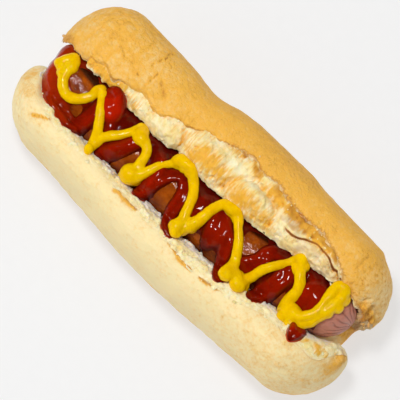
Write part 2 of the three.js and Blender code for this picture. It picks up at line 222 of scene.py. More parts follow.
# The line of mustard as x, y, half width.
MUSTARD_LINE = [
    (-66.1, -2.9, 1.8), (-64.6, -0.1, 2.1), (-63.6, 2.1, 1.7), (-62.0, 0.7, 2.0), (-61.8, -2.5, 2.0),
    (-61.1, -5.6, 1.9), (-59.2, -7.9, 1.9), (-56.4, -9.1, 1.9), (-53.3, -8.4, 1.9), (-50.9, -6.3, 1.8),
    (-49.4, -3.6, 1.7), (-49.6, -0.9, 1.7), (-48.1, -0.1, 1.5), (-46.3, -1.8, 1.6), (-43.8, -4.8, 1.7),
    (-42.0, -7.2, 1.7), (-40.0, -9.9, 1.8), (-38.5, -12.3, 1.9), (-37.6, -15.1, 1.8),
    (-36.8, -18.2, 1.4), (-37.2, -14.6, 1.8), (-36.7, -11.4, 1.7), (-35.4, -9.4, 1.8),
    (-33.4, -7.2, 1.7), (-31.8, -4.9, 1.6), (-30.5, -2.1, 1.6), (-29.9, 0.8, 1.5), (-28.4, 0.5, 1.9),
    (-27.4, -2.0, 2.8), (-24.8, -2.8, 2.0), (-22.8, -3.6, 1.8), (-21.5, -5.5, 1.7), (-21.0, -7.8, 1.8),
    (-20.7, -10.6, 2.0), (-20.9, -13.7, 3.7), (-18.0, -11.4, 2.0), (-16.7, -8.2, 1.7),
    (-15.6, -5.2, 1.6), (-14.2, -2.6, 1.5), (-13.0, -0.7, 1.6), (-11.8, 1.3, 2.5), (-8.8, 1.8, 2.1),
    (-6.5, 1.9, 1.9), (-4.0, 0.0, 1.9), (-1.6, -2.2, 1.9), (0.2, -4.6, 1.8), (1.3, -7.2, 1.8),
    (2.5, -10.2, 1.9), (3.6, -12.7, 2.1), (3.6, -15.7, 2.4), (4.9, -18.1, 1.4), (5.4, -14.7, 1.9),
    (6.5, -11.9, 2.5), (7.5, -9.2, 2.2), (7.9, -6.5, 2.0), (8.1, -3.5, 1.9), (8.5, -1.1, 1.9),
    (9.5, 1.1, 2.0), (11.4, 1.6, 2.1), (13.3, 1.8, 2.2), (14.9, 2.1, 2.0), (17.2, 0.4, 1.8),
    (18.8, -1.3, 1.6), (20.4, -2.7, 1.6), (22.2, -4.4, 1.7), (23.9, -6.6, 1.8), (25.5, -9.0, 1.9),
    (26.8, -12.2, 2.1), (27.4, -15.8, 2.6), (29.4, -13.2, 2.0), (32.5, -15.5, 2.7), (32.8, -11.6, 2.0),
    (34.0, -9.5, 1.8), (34.7, -6.9, 1.8), (35.9, -4.4, 1.7), (37.2, -2.0, 1.7), (38.5, 0.3, 1.6),
    (39.6, 2.4, 1.6), (40.5, 4.5, 1.7), (42.1, 6.1, 1.9), (43.5, 4.5, 1.9), (45.7, 1.5, 2.0),
    (47.7, -0.7, 2.0), (48.7, -3.0, 2.1), (48.5, -5.8, 2.1), (48.4, -8.3, 2.1), (49.1, -9.7, 2.4),
    (51.3, -9.0, 3.6), (55.1, -8.4, 2.2), (56.9, -6.3, 1.9), (58.1, -4.1, 1.9), (58.3, -1.2, 1.9),
    (57.8, 1.7, 1.9), (57.5, 4.8, 2.1), (57.4, 7.8, 2.1), (58.9, 9.0, 1.9), (60.1, 8.5, 2.2),
    (60.9, 6.8, 2.1), (61.0, 3.9, 2.1), (60.7, 0.9, 2.1), (60.2, -2.0, 2.1), (59.4, -4.3, 2.0),
    (59.0, -6.8, 1.9), (58.0, -8.8, 1.7),
]
# How far the middle of the line lies over what it rests on, in half widths.
LINE_LIFT = 0.45
# Spacing of the places along the line, and over how many of them its height is evened out.
LINE_STEP = 0.5
LINE_EASE = 6
# How high a pool stands, and how much wider than its radius it spreads.
POOL_HEIGHT = 2.8
POOL_SPREAD = 1.08
# Where the mustard ran together, as x, y, radius.
MUSTARD_POOLS = [
    (-64.7, -3.0, 2.0), (-63.2, 0.9, 2.2), (-61.6, -1.3, 2.2), (-62.6, -4.5, 2.1), (-48.8, 0.1, 1.9),
    (-47.0, -0.6, 1.7), (-37.5, -14.2, 1.9), (-37.1, -17.3, 1.6), (-28.3, -0.4, 2.4),
    (-27.0, -3.0, 2.3), (-24.8, -2.5, 1.8), (-21.6, -14.5, 3.2), (-19.5, -12.7, 3.0),
    (-20.0, -10.2, 2.2), (-11.6, 0.8, 2.4), (-9.1, 0.9, 2.1), (-6.5, 0.8, 1.9), (2.8, -15.9, 2.1),
    (4.7, -14.1, 2.9), (6.4, -11.7, 2.6), (5.3, -17.3, 1.5), (12.8, 1.3, 2.2), (14.8, 1.4, 2.0),
    (16.6, 0.7, 1.9), (27.4, -13.5, 2.7), (26.7, -16.3, 1.8), (30.4, -13.1, 2.4), (33.4, -14.2, 2.4),
    (33.0, -15.9, 1.9), (42.4, 4.9, 2.1), (44.3, 5.0, 1.9), (43.3, 2.6, 2.2), (52.3, -10.3, 3.1),
    (50.7, -12.0, 2.1), (54.2, -11.6, 2.3), (56.9, -9.4, 2.1), (58.2, 7.8, 2.5), (61.3, 6.6, 2.5),
    (61.9, 3.0, 2.2), (61.0, -0.6, 2.0), (58.9, -6.4, 1.9),
]

# Bits torn from the crust as x, y, z, length, width, thickness and turn in degrees.
CRUST_BITS = [
    (-73.6, 7.2, 26.5, 2.4, 1.3, 1.1, 12), (-71.9, 6.7, 29.0, 2.2, 1.2, 1.0, -24),
    (-70.2, 6.5, 31.0, 2.0, 1.2, 1.0, 18), (72.2, 8.2, 27.0, 2.0, 1.0, 0.8, -48),
    (70.6, 7.0, 27.5, 1.9, 0.9, 0.8, 30), (71.4, 6.6, 26.0, 1.5, 0.8, 0.7, -20),
    (69.2, 7.6, 28.0, 2.1, 1.1, 1.0, 60), (53.6, 7.5, 39.8, 3.2, 0.8, 0.6, 12),
    (55.4, 6.8, 39.6, 2.4, 0.7, 0.5, -20),
]
# How many loose crumbs are tried, how far they reach both ways along the bun, what share lies by the
# golden crust, how far the others lie from the sausage's middle, and their smallest and largest size.
LOOSE_CRUMBS = 70
CRUMB_REACH = 66
FAR_SHARE = 0.45
NEAR_OFFSET = 11.0
CRUMB_SIZES = (0.4, 0.9)
# Bits past this distance from the middle lie on crust and are browner.
CRUST_ENDS = 65

# ---------------------------------------------------------------- the stage

# The camera's turn and tilt in degrees, its lens and sensor, and the side of its picture in pixels.
CAMERA_TURN = -45
CAMERA_TILT = 75
LENS = 700
SENSOR = 36
PICTURE_SIDE = 400
# What one pixel covers, the height that the camera is aimed at, and its shift in pixels.
PIXEL = 0.3424
AIM_HEIGHT = 22
AIM_LEFT, AIM_UP = 1.66, 0.65
# The side of the floor, where the lamps are aimed, and their places and sizes, in metres.
FLOOR_SIDE = 6
LAMPS_AIM = (0, 0, 0.02)
KEY_PLACE, KEY_SIZE = (-0.1, -0.02, 0.95), 0.18
NEAR_PLACE, NEAR_SIZE = (-0.3, -0.8, 0.5), 1.4
FAR_PLACE, FAR_SIZE = (0.1, 0.8, 0.6), 1.2
LEFT_PLACE, RIGHT_PLACE, SIDE_SIZE = (-0.95, 0.0, 0.5), (0.95, 0.0, 0.5), 1.0
# How much of the side power each side lamp gives.
LEFT_SHARE, RIGHT_SHARE = 1.15, 1.25

# ---------------------------------------------------------------- curves, noise and distances


def through(stations, x):
    """A smooth curve through stations [x, value], held level past the first and the last."""
    at, value = np.array(stations, float).T[:2]
    x = np.clip(x, at[0], at[-1])
    before = np.maximum(np.arange(len(at)) - 1, 0)
    after = np.minimum(np.arange(len(at)) + 1, len(at) - 1)
    slope = (value[after] - value[before]) / (at[after] - at[before])
    i = np.clip(np.searchsorted(at, x, side="right") - 1, 0, len(at) - 2)
    span = at[i + 1] - at[i]
    t = (x - at[i]) / span
    rise = t * t * (3 - 2 * t)
    bend = t * (1 - t) ** 2 * slope[i] * span - t * t * (1 - t) * slope[i + 1] * span
    return value[i] + (value[i + 1] - value[i]) * rise + bend


def smooth(value, low, high):
    """Rises smoothly from 0 at low to 1 at high."""
    t = np.clip((value - low) / (high - low), 0, 1)
    return t * t * (3 - 2 * t)


def bell(value, centre, spread):
    """Is 1 at the centre and falls off smoothly over the spread."""
    return np.exp(-(((value - centre) / spread) ** 2))


def quarter_round(distance, reach):
    """Rises from 0 at a tip to 1 at reach along a quarter ellipse."""
    return np.sqrt(1 - np.clip(1 - distance / reach, 0, 1) ** 2)


def spots(x, y, places):
    """Sum of soft oval spots given as x, y, length, width, strength."""
    return sum(s * bell(x, cx, a / 2.4) * bell(y, cy, b / 2.4) for cx, cy, a, b, s in places)


def off_line(x, y, line):
    """Distance in plan from a line of points."""
    best = np.full(np.broadcast(x, y).shape, 1e6)
    for (ax, ay), (bx, by) in zip(line[:-1], line[1:]):
        dx, dy = bx - ax, by - ay
        t = np.clip(((x - ax) * dx + (y - ay) * dy) / (dx * dx + dy * dy), 0, 1)
        best = np.minimum(best, np.hypot(x - ax - t * dx, y - ay - t * dy))
    return best


LATTICE = np.random.default_rng(11).uniform(-1, 1, (32, 32, 32)).astype(np.float32)


def noise(x, y, z, size, shift=0.0):
    """Smooth noise between -1 and 1 whose bumps have the given size, or size along each axis."""
    size = np.broadcast_to(size, 3)
    cells, parts = [], []
    for value, step, offset in zip((x, y, z), size, (0.31, 7.77, 15.13)):
        place = np.asarray(value, np.float32) / step + offset + shift
        cell = np.floor(place).astype(np.int32)
        part = place - cell
        cells.append(cell)
        parts.append(part * part * part * (part * (part * 6 - 15) + 10))
    total = 0.0
    for a in (0, 1):
        for b in (0, 1):
            for c in (0, 1):
                corner = LATTICE[(cells[0] + a) & 31, (cells[1] + b) & 31, (cells[2] + c) & 31]
                share = (parts[0] if a else 1 - parts[0]) * (parts[1] if b else 1 - parts[1])
                total = total + corner * share * (parts[2] if c else 1 - parts[2])
    return total


def blend_min(a, b, width):
    """The nearer of two distances, with the seam between them rounded over width."""
    h = np.clip(0.5 + 0.5 * (b - a) / width, 0, 1)
    return b + (a - b) * h - width * h * (1 - h)


def blend_max(a, b, width):
    """The farther of two distances, with the seam between them rounded over width."""
    return -blend_min(-a, -b, width)


class Block:
    """A block of evenly spaced places, for distances to closed skins."""

    def __init__(self, low, high, pitch):
        self.low, self.pitch = np.array(low, float), pitch
        self.count = np.ceil((np.array(high) - self.low) / pitch).astype(int) + 1
        axes = [self.low[k] + pitch * np.arange(self.count[k]) for k in range(3)]
        self.x, self.y, self.z = np.meshgrid(*axes, indexing="ij", sparse=True)

    def distance(self, skin, reach=4.0):
        """Distance from a closed skin, less than 0 inside it, kept up to reach."""
        points, triangles, quads = skin
        level = openvdb.FloatGrid.createLevelSetFromPolygons(
            (points - self.low).astype(np.float32),
            triangles=triangles.astype(np.uint32),
            quads=quads.astype(np.uint32),
            transform=openvdb.createLinearTransform(voxelSize=self.pitch),
            halfWidth=reach / self.pitch,
        )
        kept = np.empty(self.count, np.float32)
        level.copyToArray(kept, ijk=(0, 0, 0))
        return kept

    def skin(self, field):
        """The skin where the field is 0, facing to where it is more."""
        level = openvdb.FloatGrid(2.0)
        level.copyFromArray(np.clip(field, -2, 2).astype(np.float32))
        points, quads = level.convertToQuads(isovalue=0.0)
        return points.astype(float) * self.pitch + self.low, quads


# ---------------------------------------------------------------- bun and sausage as distances


def sausage_y(x):
    """Where the sausage's middle lies across the bun."""
    return through(SAUSAGE_AXIS, x)


def golden_sides(x):
    """Inner and outer side of the golden half."""
    dent = 2.2 * bell(x, 14, 28) - 2.7 * bell(x, -20, 10)
    return sausage_y(x) + GOLDEN_INNER - 1.8 * bell(x, -57, 8), GOLDEN_OUTER + SKEW * x + dent


def pale_sides(x):
    """Inner and outer side of the pale half, which closes in behind both ends of the sausage."""
    embrace = 8 * smooth(-x, 62, 71) + 3.5 * smooth(x, 60, 72)
    return sausage_y(x) + PALE_INNER + embrace, PALE_OUTER + SKEW * x - 3.8 * bell(x, 0, 40)


def hinge_sides(x):
    """Both sides of the hinge under the sausage."""
    return HINGE_INNER + sausage_y(x), HINGE_OUTER + sausage_y(x) / 2


def tube_faces(count, around):
    """Faces of a closed tube of count rings whose two poles come last: quads, and a fan at each pole."""
    here = np.arange(around)
    there = (here + 1) % around
    rows = np.arange(count - 1)[:, None] * around
    last = (count - 1) * around
    quads = np.stack([rows + here, rows + there, rows + around + there, rows + around + here], -1)
    first_fan = np.stack([np.full(around, count * around), there, here], -1)
    last_fan = np.stack([np.full(around, count * around + 1), last + here, last + there], -1)
    return quads.reshape(-1, 4), first_fan, last_fan


def lobe_skin(shape, sides, around=128, rings=40, straight=150):
    """The closed skin of a half of the bun, as points, triangles and quads."""
    left, right = shape["left"], shape["right"]
    curl = END_REACH * (1 - np.cos(np.linspace(0, math.pi / 2, rings + 1)[1:]))
    middle = np.linspace(left[0] + END_REACH, right[0] - END_REACH, straight)[1:-1]
    x = np.concatenate([left[0] + curl, middle, right[0] - curl[::-1]])[:, None]
    tip_x, tip_y, corner = (np.where(x < 0, a, b) for a, b in zip(left, right))
    reach = np.abs(tip_x - x)
    inner, outer = sides(x)
    inner = tip_y + (inner - tip_y) * quarter_round(reach, corner)
    outer = tip_y + (outer - tip_y) * quarter_round(reach, END_REACH)
    top = shape["tip"] + (shape["top"] - shape["tip"]) * quarter_round(reach, TOP_REACH)
    base = shape["tip"] - (shape["tip"] + BASE_TRIM) * quarter_round(reach, BASE_REACH)
    turn = np.linspace(0, 2 * math.pi, around, endpoint=False)[None, :]
    across, up = (np.sign(v) * np.abs(v) ** (2 / shape["power"]) for v in (np.cos(turn), np.sin(turn)))
    y = (inner + outer) / 2 + across * np.abs(outer - inner) / 2
    z = (top + base) / 2 + up * (top - base) / 2
    points = np.stack([np.broadcast_to(x, y.shape), y, z], -1).reshape(-1, 3)
    poles = [[end[0], end[1], shape["tip"]] for end in (left, right)]
    quads, first_fan, last_fan = tube_faces(x.shape[0], around)
    return np.concatenate([points, poles]), np.concatenate([first_fan, last_fan]), quads


def sausage_distance(x, y, z):
    """Distance to a round bar with round ends along the sausage's middle."""
    start, end = SAUSAGE_TIPS[0] + SAUSAGE_RADIUS, SAUSAGE_TIPS[1] - SAUSAGE_RADIUS
    near = np.clip(x, start, end)
    return np.sqrt((x - near) ** 2 + (y - sausage_y(near)) ** 2 + (z - SAUSAGE_HEIGHT) ** 2) - SAUSAGE_RADIUS


def channel_distance(x, y, z):
    """Distance to the channel that the sausage lies in, which stands off it under the golden lip."""
    far = smooth(y, sausage_y(x) + 1, sausage_y(x) + 7)
    return sausage_distance(x, y, z) - CHANNEL_PLAY - LIP_GAP * far


def ragged_edge(x, stations, wander):
    """An edge in plan, torn into bays of a few millimetres."""
    return through(stations, x) + wander * (
        0.9 * noise(x, 0.0, 0.0, 4.3, 2.0) + 0.6 * noise(x, 3.0, 0.0, 1.9, 5.0)
        + 0.3 * noise(x, 6.0, 0.0, 0.9)
    )


def strip_ends(x):
    """Is 1 along the torn strip and falls to 0 at its two ends."""
    return smooth(x, *STRIP_LEFT) * (1 - smooth(x, *STRIP_RIGHT))


def bun_fields(block):
    """Distances to the golden half, the pale half and the hinge."""
    return (
        block.distance(lobe_skin(GOLDEN_HALF, golden_sides)),
        block.distance(lobe_skin(PALE_HALF, pale_sides)),
        block.distance(lobe_skin(HINGE, hinge_sides)),
    )


def bed_distances(block):
    """Distances to what sauce lies on: the sausage in the pale half, and the torn golden lip."""
    golden, pale, hinge = bun_fields(block)
    sausage = np.clip(sausage_distance(block.x, block.y, block.z), -4, 4)
    lip = golden - torn_relief(block.x, block.y) * smooth(block.z, 26, 34)
    return blend_min(np.minimum(pale - 0.2, hinge), sausage, 1.2), sausage, lip


def torn_step(x):
    """Depth of the torn crumb under the crust beside it, less where the crust is scuffed."""
    return TORN_DEPTH * (1 - 0.65 * smooth(x, -10, 4))


def torn_relief(x, y):
    """Rise of the torn crumb over or under the even outside of the golden half."""
    edge = through(CRUST_EDGE, x)
    past = smooth(y, edge - 1.0, edge + 1.0)
    return (spots(x, y, BILLOWS) - torn_step(x)) * (1 - past) * strip_ends(x)


# ---------------------------------------------------------------- meshes and pieces


def linear(hex_colour):
    """An sRGB hex colour as linear red, green, blue and 1."""
    parts = [int(hex_colour[i:i + 2], 16) / 255 for i in (0, 2, 4)]
    return [p / 12.92 if p <= 0.04045 else ((p + 0.055) / 1.055) ** 2.4 for p in parts] + [1.0]


def new_mesh(name, points, *faces):
    """An object at the origin with a smooth-shaded mesh of points in millimetres and arrays of faces."""
    mesh = bpy.data.meshes.new(name)
    mesh.from_pydata((points * MM).tolist(), [], [face for part in faces for face in part.tolist()])
    mesh.update()
    mesh.shade_smooth()
    piece = bpy.data.objects.new(name, mesh)
    bpy.context.scene.collection.objects.link(piece)
    return piece


def read_points(mesh):
    """Points in millimetres and normals of a mesh."""
    points = np.empty(len(mesh.vertices) * 3)
    mesh.vertices.foreach_get("co", points)
    normals = np.empty(len(mesh.vertices) * 3)
    mesh.vertex_normals.foreach_get("vector", normals)
    return points.reshape(-1, 3) / MM, normals.reshape(-1, 3)


def write_points(mesh, points):
    """Moves the points of a mesh to places in millimetres."""
    mesh.vertices.foreach_set("co", (points * MM).ravel())
    mesh.update()


def keep(mesh, name, values):
    """Keeps one number for each vertex, for a material to read."""
    attribute = mesh.attributes.new(name, "FLOAT", "POINT")
    attribute.data.foreach_set("value", np.asarray(values, np.float32).ravel())


def finish_piece(piece, material, node=None):
    """Gives a piece its material, body and slot, and hides the imported part that it replaces."""
    piece.data.materials.clear()
    piece.data.materials.append(material)
    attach(piece, "root")
    if node:
        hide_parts(node)


def add(tree, kind, links=None, **settings):
    """Adds a node. A link names or numbers an input, and has a value, an output, or a node whose
    first output in use is taken."""
    made = tree.nodes.new(kind)
    for name, value in settings.items():
        setattr(made, name, value)
    for name, value in (links or {}).items():
        if isinstance(name, int):
            socket = made.inputs[name]
        else:
            socket = next(s for s in made.inputs if s.enabled and s.name == name)
        if isinstance(value, bpy.types.Node):
            value = next(s for s in value.outputs if s.enabled)
        if isinstance(value, bpy.types.NodeSocket):
            tree.links.new(value, socket)
        else:
            socket.default_value = value
    return made


# ---------------------------------------------------------------- materials


def start_material(name, *kept):
    """A material without nodes, its tree, places in millimetres, and the kept numbers that it reads."""
    material = bpy.data.materials.new(name)
    material.use_nodes = True
    tree = material.node_tree
    tree.nodes.clear()
    place = add(tree, "ShaderNodeTexCoord").outputs["Object"]
    place = add(tree, "ShaderNodeVectorMath", {0: place, "Scale": 1 / MM}, operation="SCALE")
    read = [add(tree, "ShaderNodeAttribute", attribute_name=label).outputs["Fac"] for label in kept]
    return material, tree, place, *read


def tinted(tree, colour, layers):
    """A colour under layers. Each is what drives it, the values of that where it starts and is full,
    how much it then covers, and its colour."""
    for drive, low, high, most, tint in layers:
        share = add(
            tree, "ShaderNodeMapRange", {"Value": drive, "From Min": low, "From Max": high, "To Max": most}
        )
        colour = add(tree, "ShaderNodeMix", {"Factor": share, "A": colour, "B": tint[:]}, data_type="RGBA")
    return colour


def moist_surface(tree, colour, grain, strength, depth, smoothest, roughest, light):
    """The end of a material with a wet surface, which a fine grain bumps and roughens."""
    bump = add(tree, "ShaderNodeBump", {"Height": grain, "Strength": strength, "Distance": depth})
    rough = add(tree, "ShaderNodeMapRange", {
        "Value": grain, "From Min": 0.3, "From Max": 0.7, "To Min": smoothest, "To Max": roughest,
    })
    surface = add(tree, "ShaderNodeBsdfPrincipled", {
        "Base Color": colour, "Roughness": rough, "Normal": bump, **light,
    })
    add(tree, "ShaderNodeOutputMaterial", {"Surface": surface})


def bread_material(settings):
    """Baked milk bread. The crust is thin, dry and matt, browned by the oven in soft patches with
    fine wrinkles; the crumb inside is pale, soft and full of small pores that catch the light."""
    material, tree, place, browning, crumb = start_material("baked_bread", "browning", "crumb")
    cloud, mottle, speck, wave = (
        add(tree, "ShaderNodeTexNoise", {
            "Vector": place, "Scale": 1 / size, "Detail": detail, "Roughness": rough,
        })
        for size, detail, rough in ((6.0, 3.0, 0.55), (1.5, 3.0, 0.65), (0.7, 2.0, 0.6), (3.2, 2.0, 0.5))
    )
    # Fine wrinkles run where a slow noise passes through its middle.
    away = add(tree, "ShaderNodeMath", {0: wave, 1: 0.5}, operation="SUBTRACT")
    away = add(tree, "ShaderNodeMath", {0: away}, operation="ABSOLUTE")
    line = add(tree, "ShaderNodeMapRange", {"Value": away, "From Max": 0.035, "To Min": 0.6, "To Max": 0.0})
    patch = add(tree, "ShaderNodeMapRange", {"Value": cloud, "From Min": 0.42, "From Max": 0.6})
    wrinkle = add(tree, "ShaderNodeMath", {0: line, 1: patch}, operation="MULTIPLY")
    # The two noises add 0.43 on the whole.
    shade = browning
    for grain, amount in ((cloud, 0.36), (mottle, 0.5), (wrinkle, 0.07)):
        shade = add(tree, "ShaderNodeMath", {0: grain, 1: amount, 2: shade}, operation="MULTIPLY_ADD")
    golden, brown = (
        add(
            tree, "ShaderNodeMapRange", {"Value": shade, "From Min": low, "From Max": high, "To Max": most},
            interpolation_type="SMOOTHSTEP",
        )
        for low, high, most in ((0.42, 0.98, 1.0), (0.98, 1.55, 0.75))
    )
    crust = settings.pale_crust[:]
    for share, tint in ((golden, settings.golden_crust), (brown, settings.brown_crust)):
        crust = add(tree, "ShaderNodeMix", {"Factor": share, "A": crust, "B": tint[:]}, data_type="RGBA")
    crust = tinted(tree, crust, [(speck, 0.55, 0.75, 0.35, settings.flour_speck)])
    inside = tinted(tree, settings.crumb[:], [
        (mottle, 0.35, 0.7, 1.0, settings.crumb_light),
        (shade, 1.0, 1.5, 0.8, settings.brown_crust),
    ])
    # The crust ends in a broken line, browner just before it.
    edge = add(tree, "ShaderNodeMath", {0: mottle, 1: 1.8, 2: crumb}, operation="MULTIPLY_ADD")
    torn = add(tree, "ShaderNodeMapRange", {"Value": edge, "From Min": 0.6, "From Max": 1.25})
    rim = add(tree, "ShaderNodeMapRange", {"Value": edge, "From Min": 0.25, "From Max": 0.6, "To Max": 0.6})
    rim = add(tree, "ShaderNodeMath", {0: rim, 1: golden}, operation="MULTIPLY")
    for share, tint in ((rim, settings.brown_crust[:]), (torn, inside)):
        crust = add(tree, "ShaderNodeMix", {"Factor": share, "A": crust, "B": tint}, data_type="RGBA")
    height = add(tree, "ShaderNodeMath", {0: wrinkle, 1: -0.35, 2: mottle}, operation="MULTIPLY_ADD")
    height = add(tree, "ShaderNodeMath", {0: speck, 1: 0.5, 2: height}, operation="MULTIPLY_ADD")
    # The hardly baked crust is smoother.
    relief = add(tree, "ShaderNodeMapRange", {"Value": golden, "From Max": 0.6, "To Min": 0.35})
    bump = add(tree, "ShaderNodeBump", {"Height": height, "Strength": relief, "Distance": 0.75 * MM})
    rough = add(tree, "ShaderNodeMapRange", {
        "Value": mottle, "From Min": 0.3, "From Max": 0.7, "To Min": 0.5, "To Max": 0.7,
    })
    surface = add(tree, "ShaderNodeBsdfPrincipled", {
        "Base Color": crust, "Roughness": rough, "Normal": bump, "IOR": 1.45, "Specular IOR Level": 0.25,
        "Subsurface Weight": 0.12, "Subsurface Radius": (1.0, 0.55, 0.25), "Subsurface Scale": 1.2 * MM,
    })
    add(tree, "ShaderNodeOutputMaterial", {"Surface": surface})
    return material


def crumb_material(settings):
    """Torn crumb of white milk bread. It is airy and matt, so light goes into it and softens its
    shadows, and it is stretched into fibres that are golden where the oven reached them."""
    material, tree, place, gold, rim = start_material("torn_crumb", "gold", "rim")
    drawn = add(tree, "ShaderNodeMapping", {"Vector": place, "Scale": (1 / 0.9, 1 / 5.0, 1 / 3.5)})
    fibre, pores, cloud = (
        add(tree, "ShaderNodeTexNoise", {
            "Vector": spread, "Scale": 1 / size, "Detail": detail, "Roughness": rough,
        })
        for spread, size, detail, rough in (
            (drawn, 1.0, 3.0, 0.6), (place, 0.8, 3.0, 0.65), (place, 3.5, 2.0, 0.5),
        )
    )
    colour = tinted(tree, settings.crumb[:], [(cloud, 0.35, 0.7, 1.0, settings.crumb_light)])
    # The fibres add 0.8 on the whole.
    streak = add(tree, "ShaderNodeMath", {0: fibre, 1: 1.6, 2: gold}, operation="MULTIPLY_ADD")
    streak = add(
        tree, "ShaderNodeMapRange", {"Value": streak, "From Min": 0.86, "From Max": 1.6, "To Max": 0.9},
        interpolation_type="SMOOTHSTEP",
    )
    colour = add(
        tree, "ShaderNodeMix", {"Factor": streak, "A": colour, "B": settings.golden_crumb[:]},
        data_type="RGBA",
    )
    # Pores are golden, fluff is white, crust left on the crumb is brown, and its seam is darker: brown crust
    # edge with painted shade of the fold.
    colour = tinted(tree, colour, [
        (pores, 0.58, 0.8, 0.45, settings.golden_crust),
        (gold, -0.05, -0.75, 0.92, settings.crumb_white),
        (rim, 0.2, 0.8, 0.95, settings.brown_crust),
        (rim, 0.9, 1.4, 0.8, settings.seam_brown_and_shade),
    ])
    height = add(tree, "ShaderNodeMath", {0: fibre, 1: 0.6, 2: pores}, operation="MULTIPLY_ADD")
    bump = add(tree, "ShaderNodeBump", {"Height": height, "Strength": 0.8, "Distance": 0.6 * MM})
    surface = add(tree, "ShaderNodeBsdfPrincipled", {
        "Base Color": colour, "Roughness": 0.85, "Normal": bump, "IOR": 1.4, "Specular IOR Level": 0.15,
        "Subsurface Weight": 0.3, "Subsurface Radius": (1.0, 0.7, 0.35), "Subsurface Scale": 1.4 * MM,
    })
    add(tree, "ShaderNodeOutputMaterial", {"Surface": surface})
    return material


def sausage_material(settings):
    """Smoked frankfurter in a thin collagen skin. The skin is tight, moist and glossy, brown where it was
    heated and grey-pink at the ends, with fine shrink wrinkles. Shade is painted into the folds at the tips
    and, darker, into the gap under the golden half."""
    material, tree, place, tip, crease = start_material("frankfurter_skin", "tip", "crease")
    cloud, fine = (
        add(tree, "ShaderNodeTexNoise", {
            "Vector": place, "Scale": 1 / size, "Detail": detail, "Roughness": 0.55,
        })
        for size, detail in ((5.0, 3.0), (1.1, 2.0))
    )
    # The fine noise adds 0.18 on the whole.
    ends = add(tree, "ShaderNodeMath", {0: fine, 1: 0.35, 2: tip}, operation="MULTIPLY_ADD")
    colour = tinted(tree, settings.dark_skin_and_crease_shade[:], [
        (cloud, 0.3, 0.7, 1.0, settings.skin),
        (ends, 0.43, 0.93, 1.0, settings.skin_tip),
        # Painted shade: the crease value darkens the folds at the tips, and past 1 it paints the shadow in
        # the gap under the golden half.
        (crease, 0.25, 0.9, 0.6, settings.dark_skin_and_crease_shade),
        (crease, 1.0, 1.6, 0.9, settings.gap_shade_on_skin),
    ])
    moist_surface(tree, colour, fine, 0.8, 0.35 * MM, 0.08, 0.14, {
        "IOR": 1.45, "Specular IOR Level": 0.35,
        "Subsurface Weight": 0.15, "Subsurface Radius": (1.0, 0.35, 0.2), "Subsurface Scale": 2.0 * MM,
    })
    return material


def ketchup_material(settings):
    """Tomato ketchup. A wet, smooth sauce that lets light through: orange red where it thins out on
    the bread, dark over the sausage, red where it is thick, with sharp small highlights."""
    material, tree, place, depth, thin = start_material("tomato_ketchup", "depth", "thin")
    cloud, pulp = (
        add(tree, "ShaderNodeTexNoise", {"Vector": place, "Scale": 1 / size, "Detail": 2.0, "Roughness": 0.5})
        for size in (3.0, 0.9)
    )
    # The cloud adds 0.5 on the whole.
    depth = add(tree, "ShaderNodeMath", {0: cloud, 1: 1.0, 2: depth}, operation="MULTIPLY_ADD")
    # Over bread a thin edge glows orange.
    colour = tinted(tree, settings.ketchup_film[:], [
        (depth, 1.2, 2.4, 1.0, settings.ketchup),
        (depth, 2.6, 3.4, 1.0, settings.ketchup_drop),
        (thin, 0.2, 1.0, 0.85, settings.ketchup_edge),
    ])
    moist_surface(tree, colour, pulp, 0.3, 0.15 * MM, 0.07, 0.13, {
        "IOR": 1.42, "Specular IOR Level": 0.32,
        "Subsurface Weight": 0.2, "Subsurface Radius": (1.0, 0.1, 0.03), "Subsurface Scale": 1.2 * MM,
    })
    return material


def mustard_material(settings):
    """Smooth yellow mustard coloured with turmeric. It is opaque and softly glossy, with faint
    streaks of a deeper yellow from the nozzle."""
    material, tree, place = start_material("yellow_mustard")
    cloud, fine = (
        add(tree, "ShaderNodeTexNoise", {
            "Vector": place, "Scale": 1 / size, "Detail": 3.0, "Roughness": rough,
        })
        for size, rough in ((2.6, 0.55), (0.9, 0.6))
    )
    colour = tinted(tree, settings.mustard_deep[:], [(cloud, 0.3, 0.7, 1.0, settings.mustard)])
    moist_surface(tree, colour, fine, 0.4, 0.3 * MM, 0.06, 0.13, {
        "IOR": 1.43, "Specular IOR Level": 0.3,
        "Subsurface Weight": 0.2, "Subsurface Radius": (1.0, 0.8, 0.1), "Subsurface Scale": 1.0 * MM,
    })
    return material


# ---------------------------------------------------------------- bun


def bun_skin(pitch):
    """The skin of both halves on the hinge, sunk under the torn crumb, with the channel cut out."""
    block = Block(*BUN_BLOCK, pitch)
    x, y, z = block.x, block.y, block.z
    golden, pale, hinge = bun_fields(block)
    edge = ragged_edge(x, CRUST_EDGE, 0.8)
    sunk = (1 - smooth(y, edge - 0.5, edge + 0.5)) * strip_ends(x) * smooth(z, 24, 30)
    curled = bell(y, edge + 1.1, 0.9) * strip_ends(x) * smooth(z, 30, 34) * (1 - 0.7 * smooth(x, -12, 2))
    golden = golden + 2.6 * sunk - 0.35 * curled
    # The left end is hollow under its rim.
    rim = RIM_START + RIM_RISE * quarter_round(x - GOLDEN_HALF["left"][0], RIM_REACH)
    hollow = np.maximum(np.maximum(y + HOLLOW_LEAN * z - HOLLOW_SIDE, x - HOLLOW_END), z - rim)
    golden = blend_max(golden, -hollow, 1.2)
    field = blend_min(blend_min(golden, pale, 1.5), hinge, 2.5)
    field = blend_max(field, -np.clip(channel_distance(x, y, z), -4, 4), 0.8)
    return block.skin(blend_max(field, -z + 0 * field, 1.0))


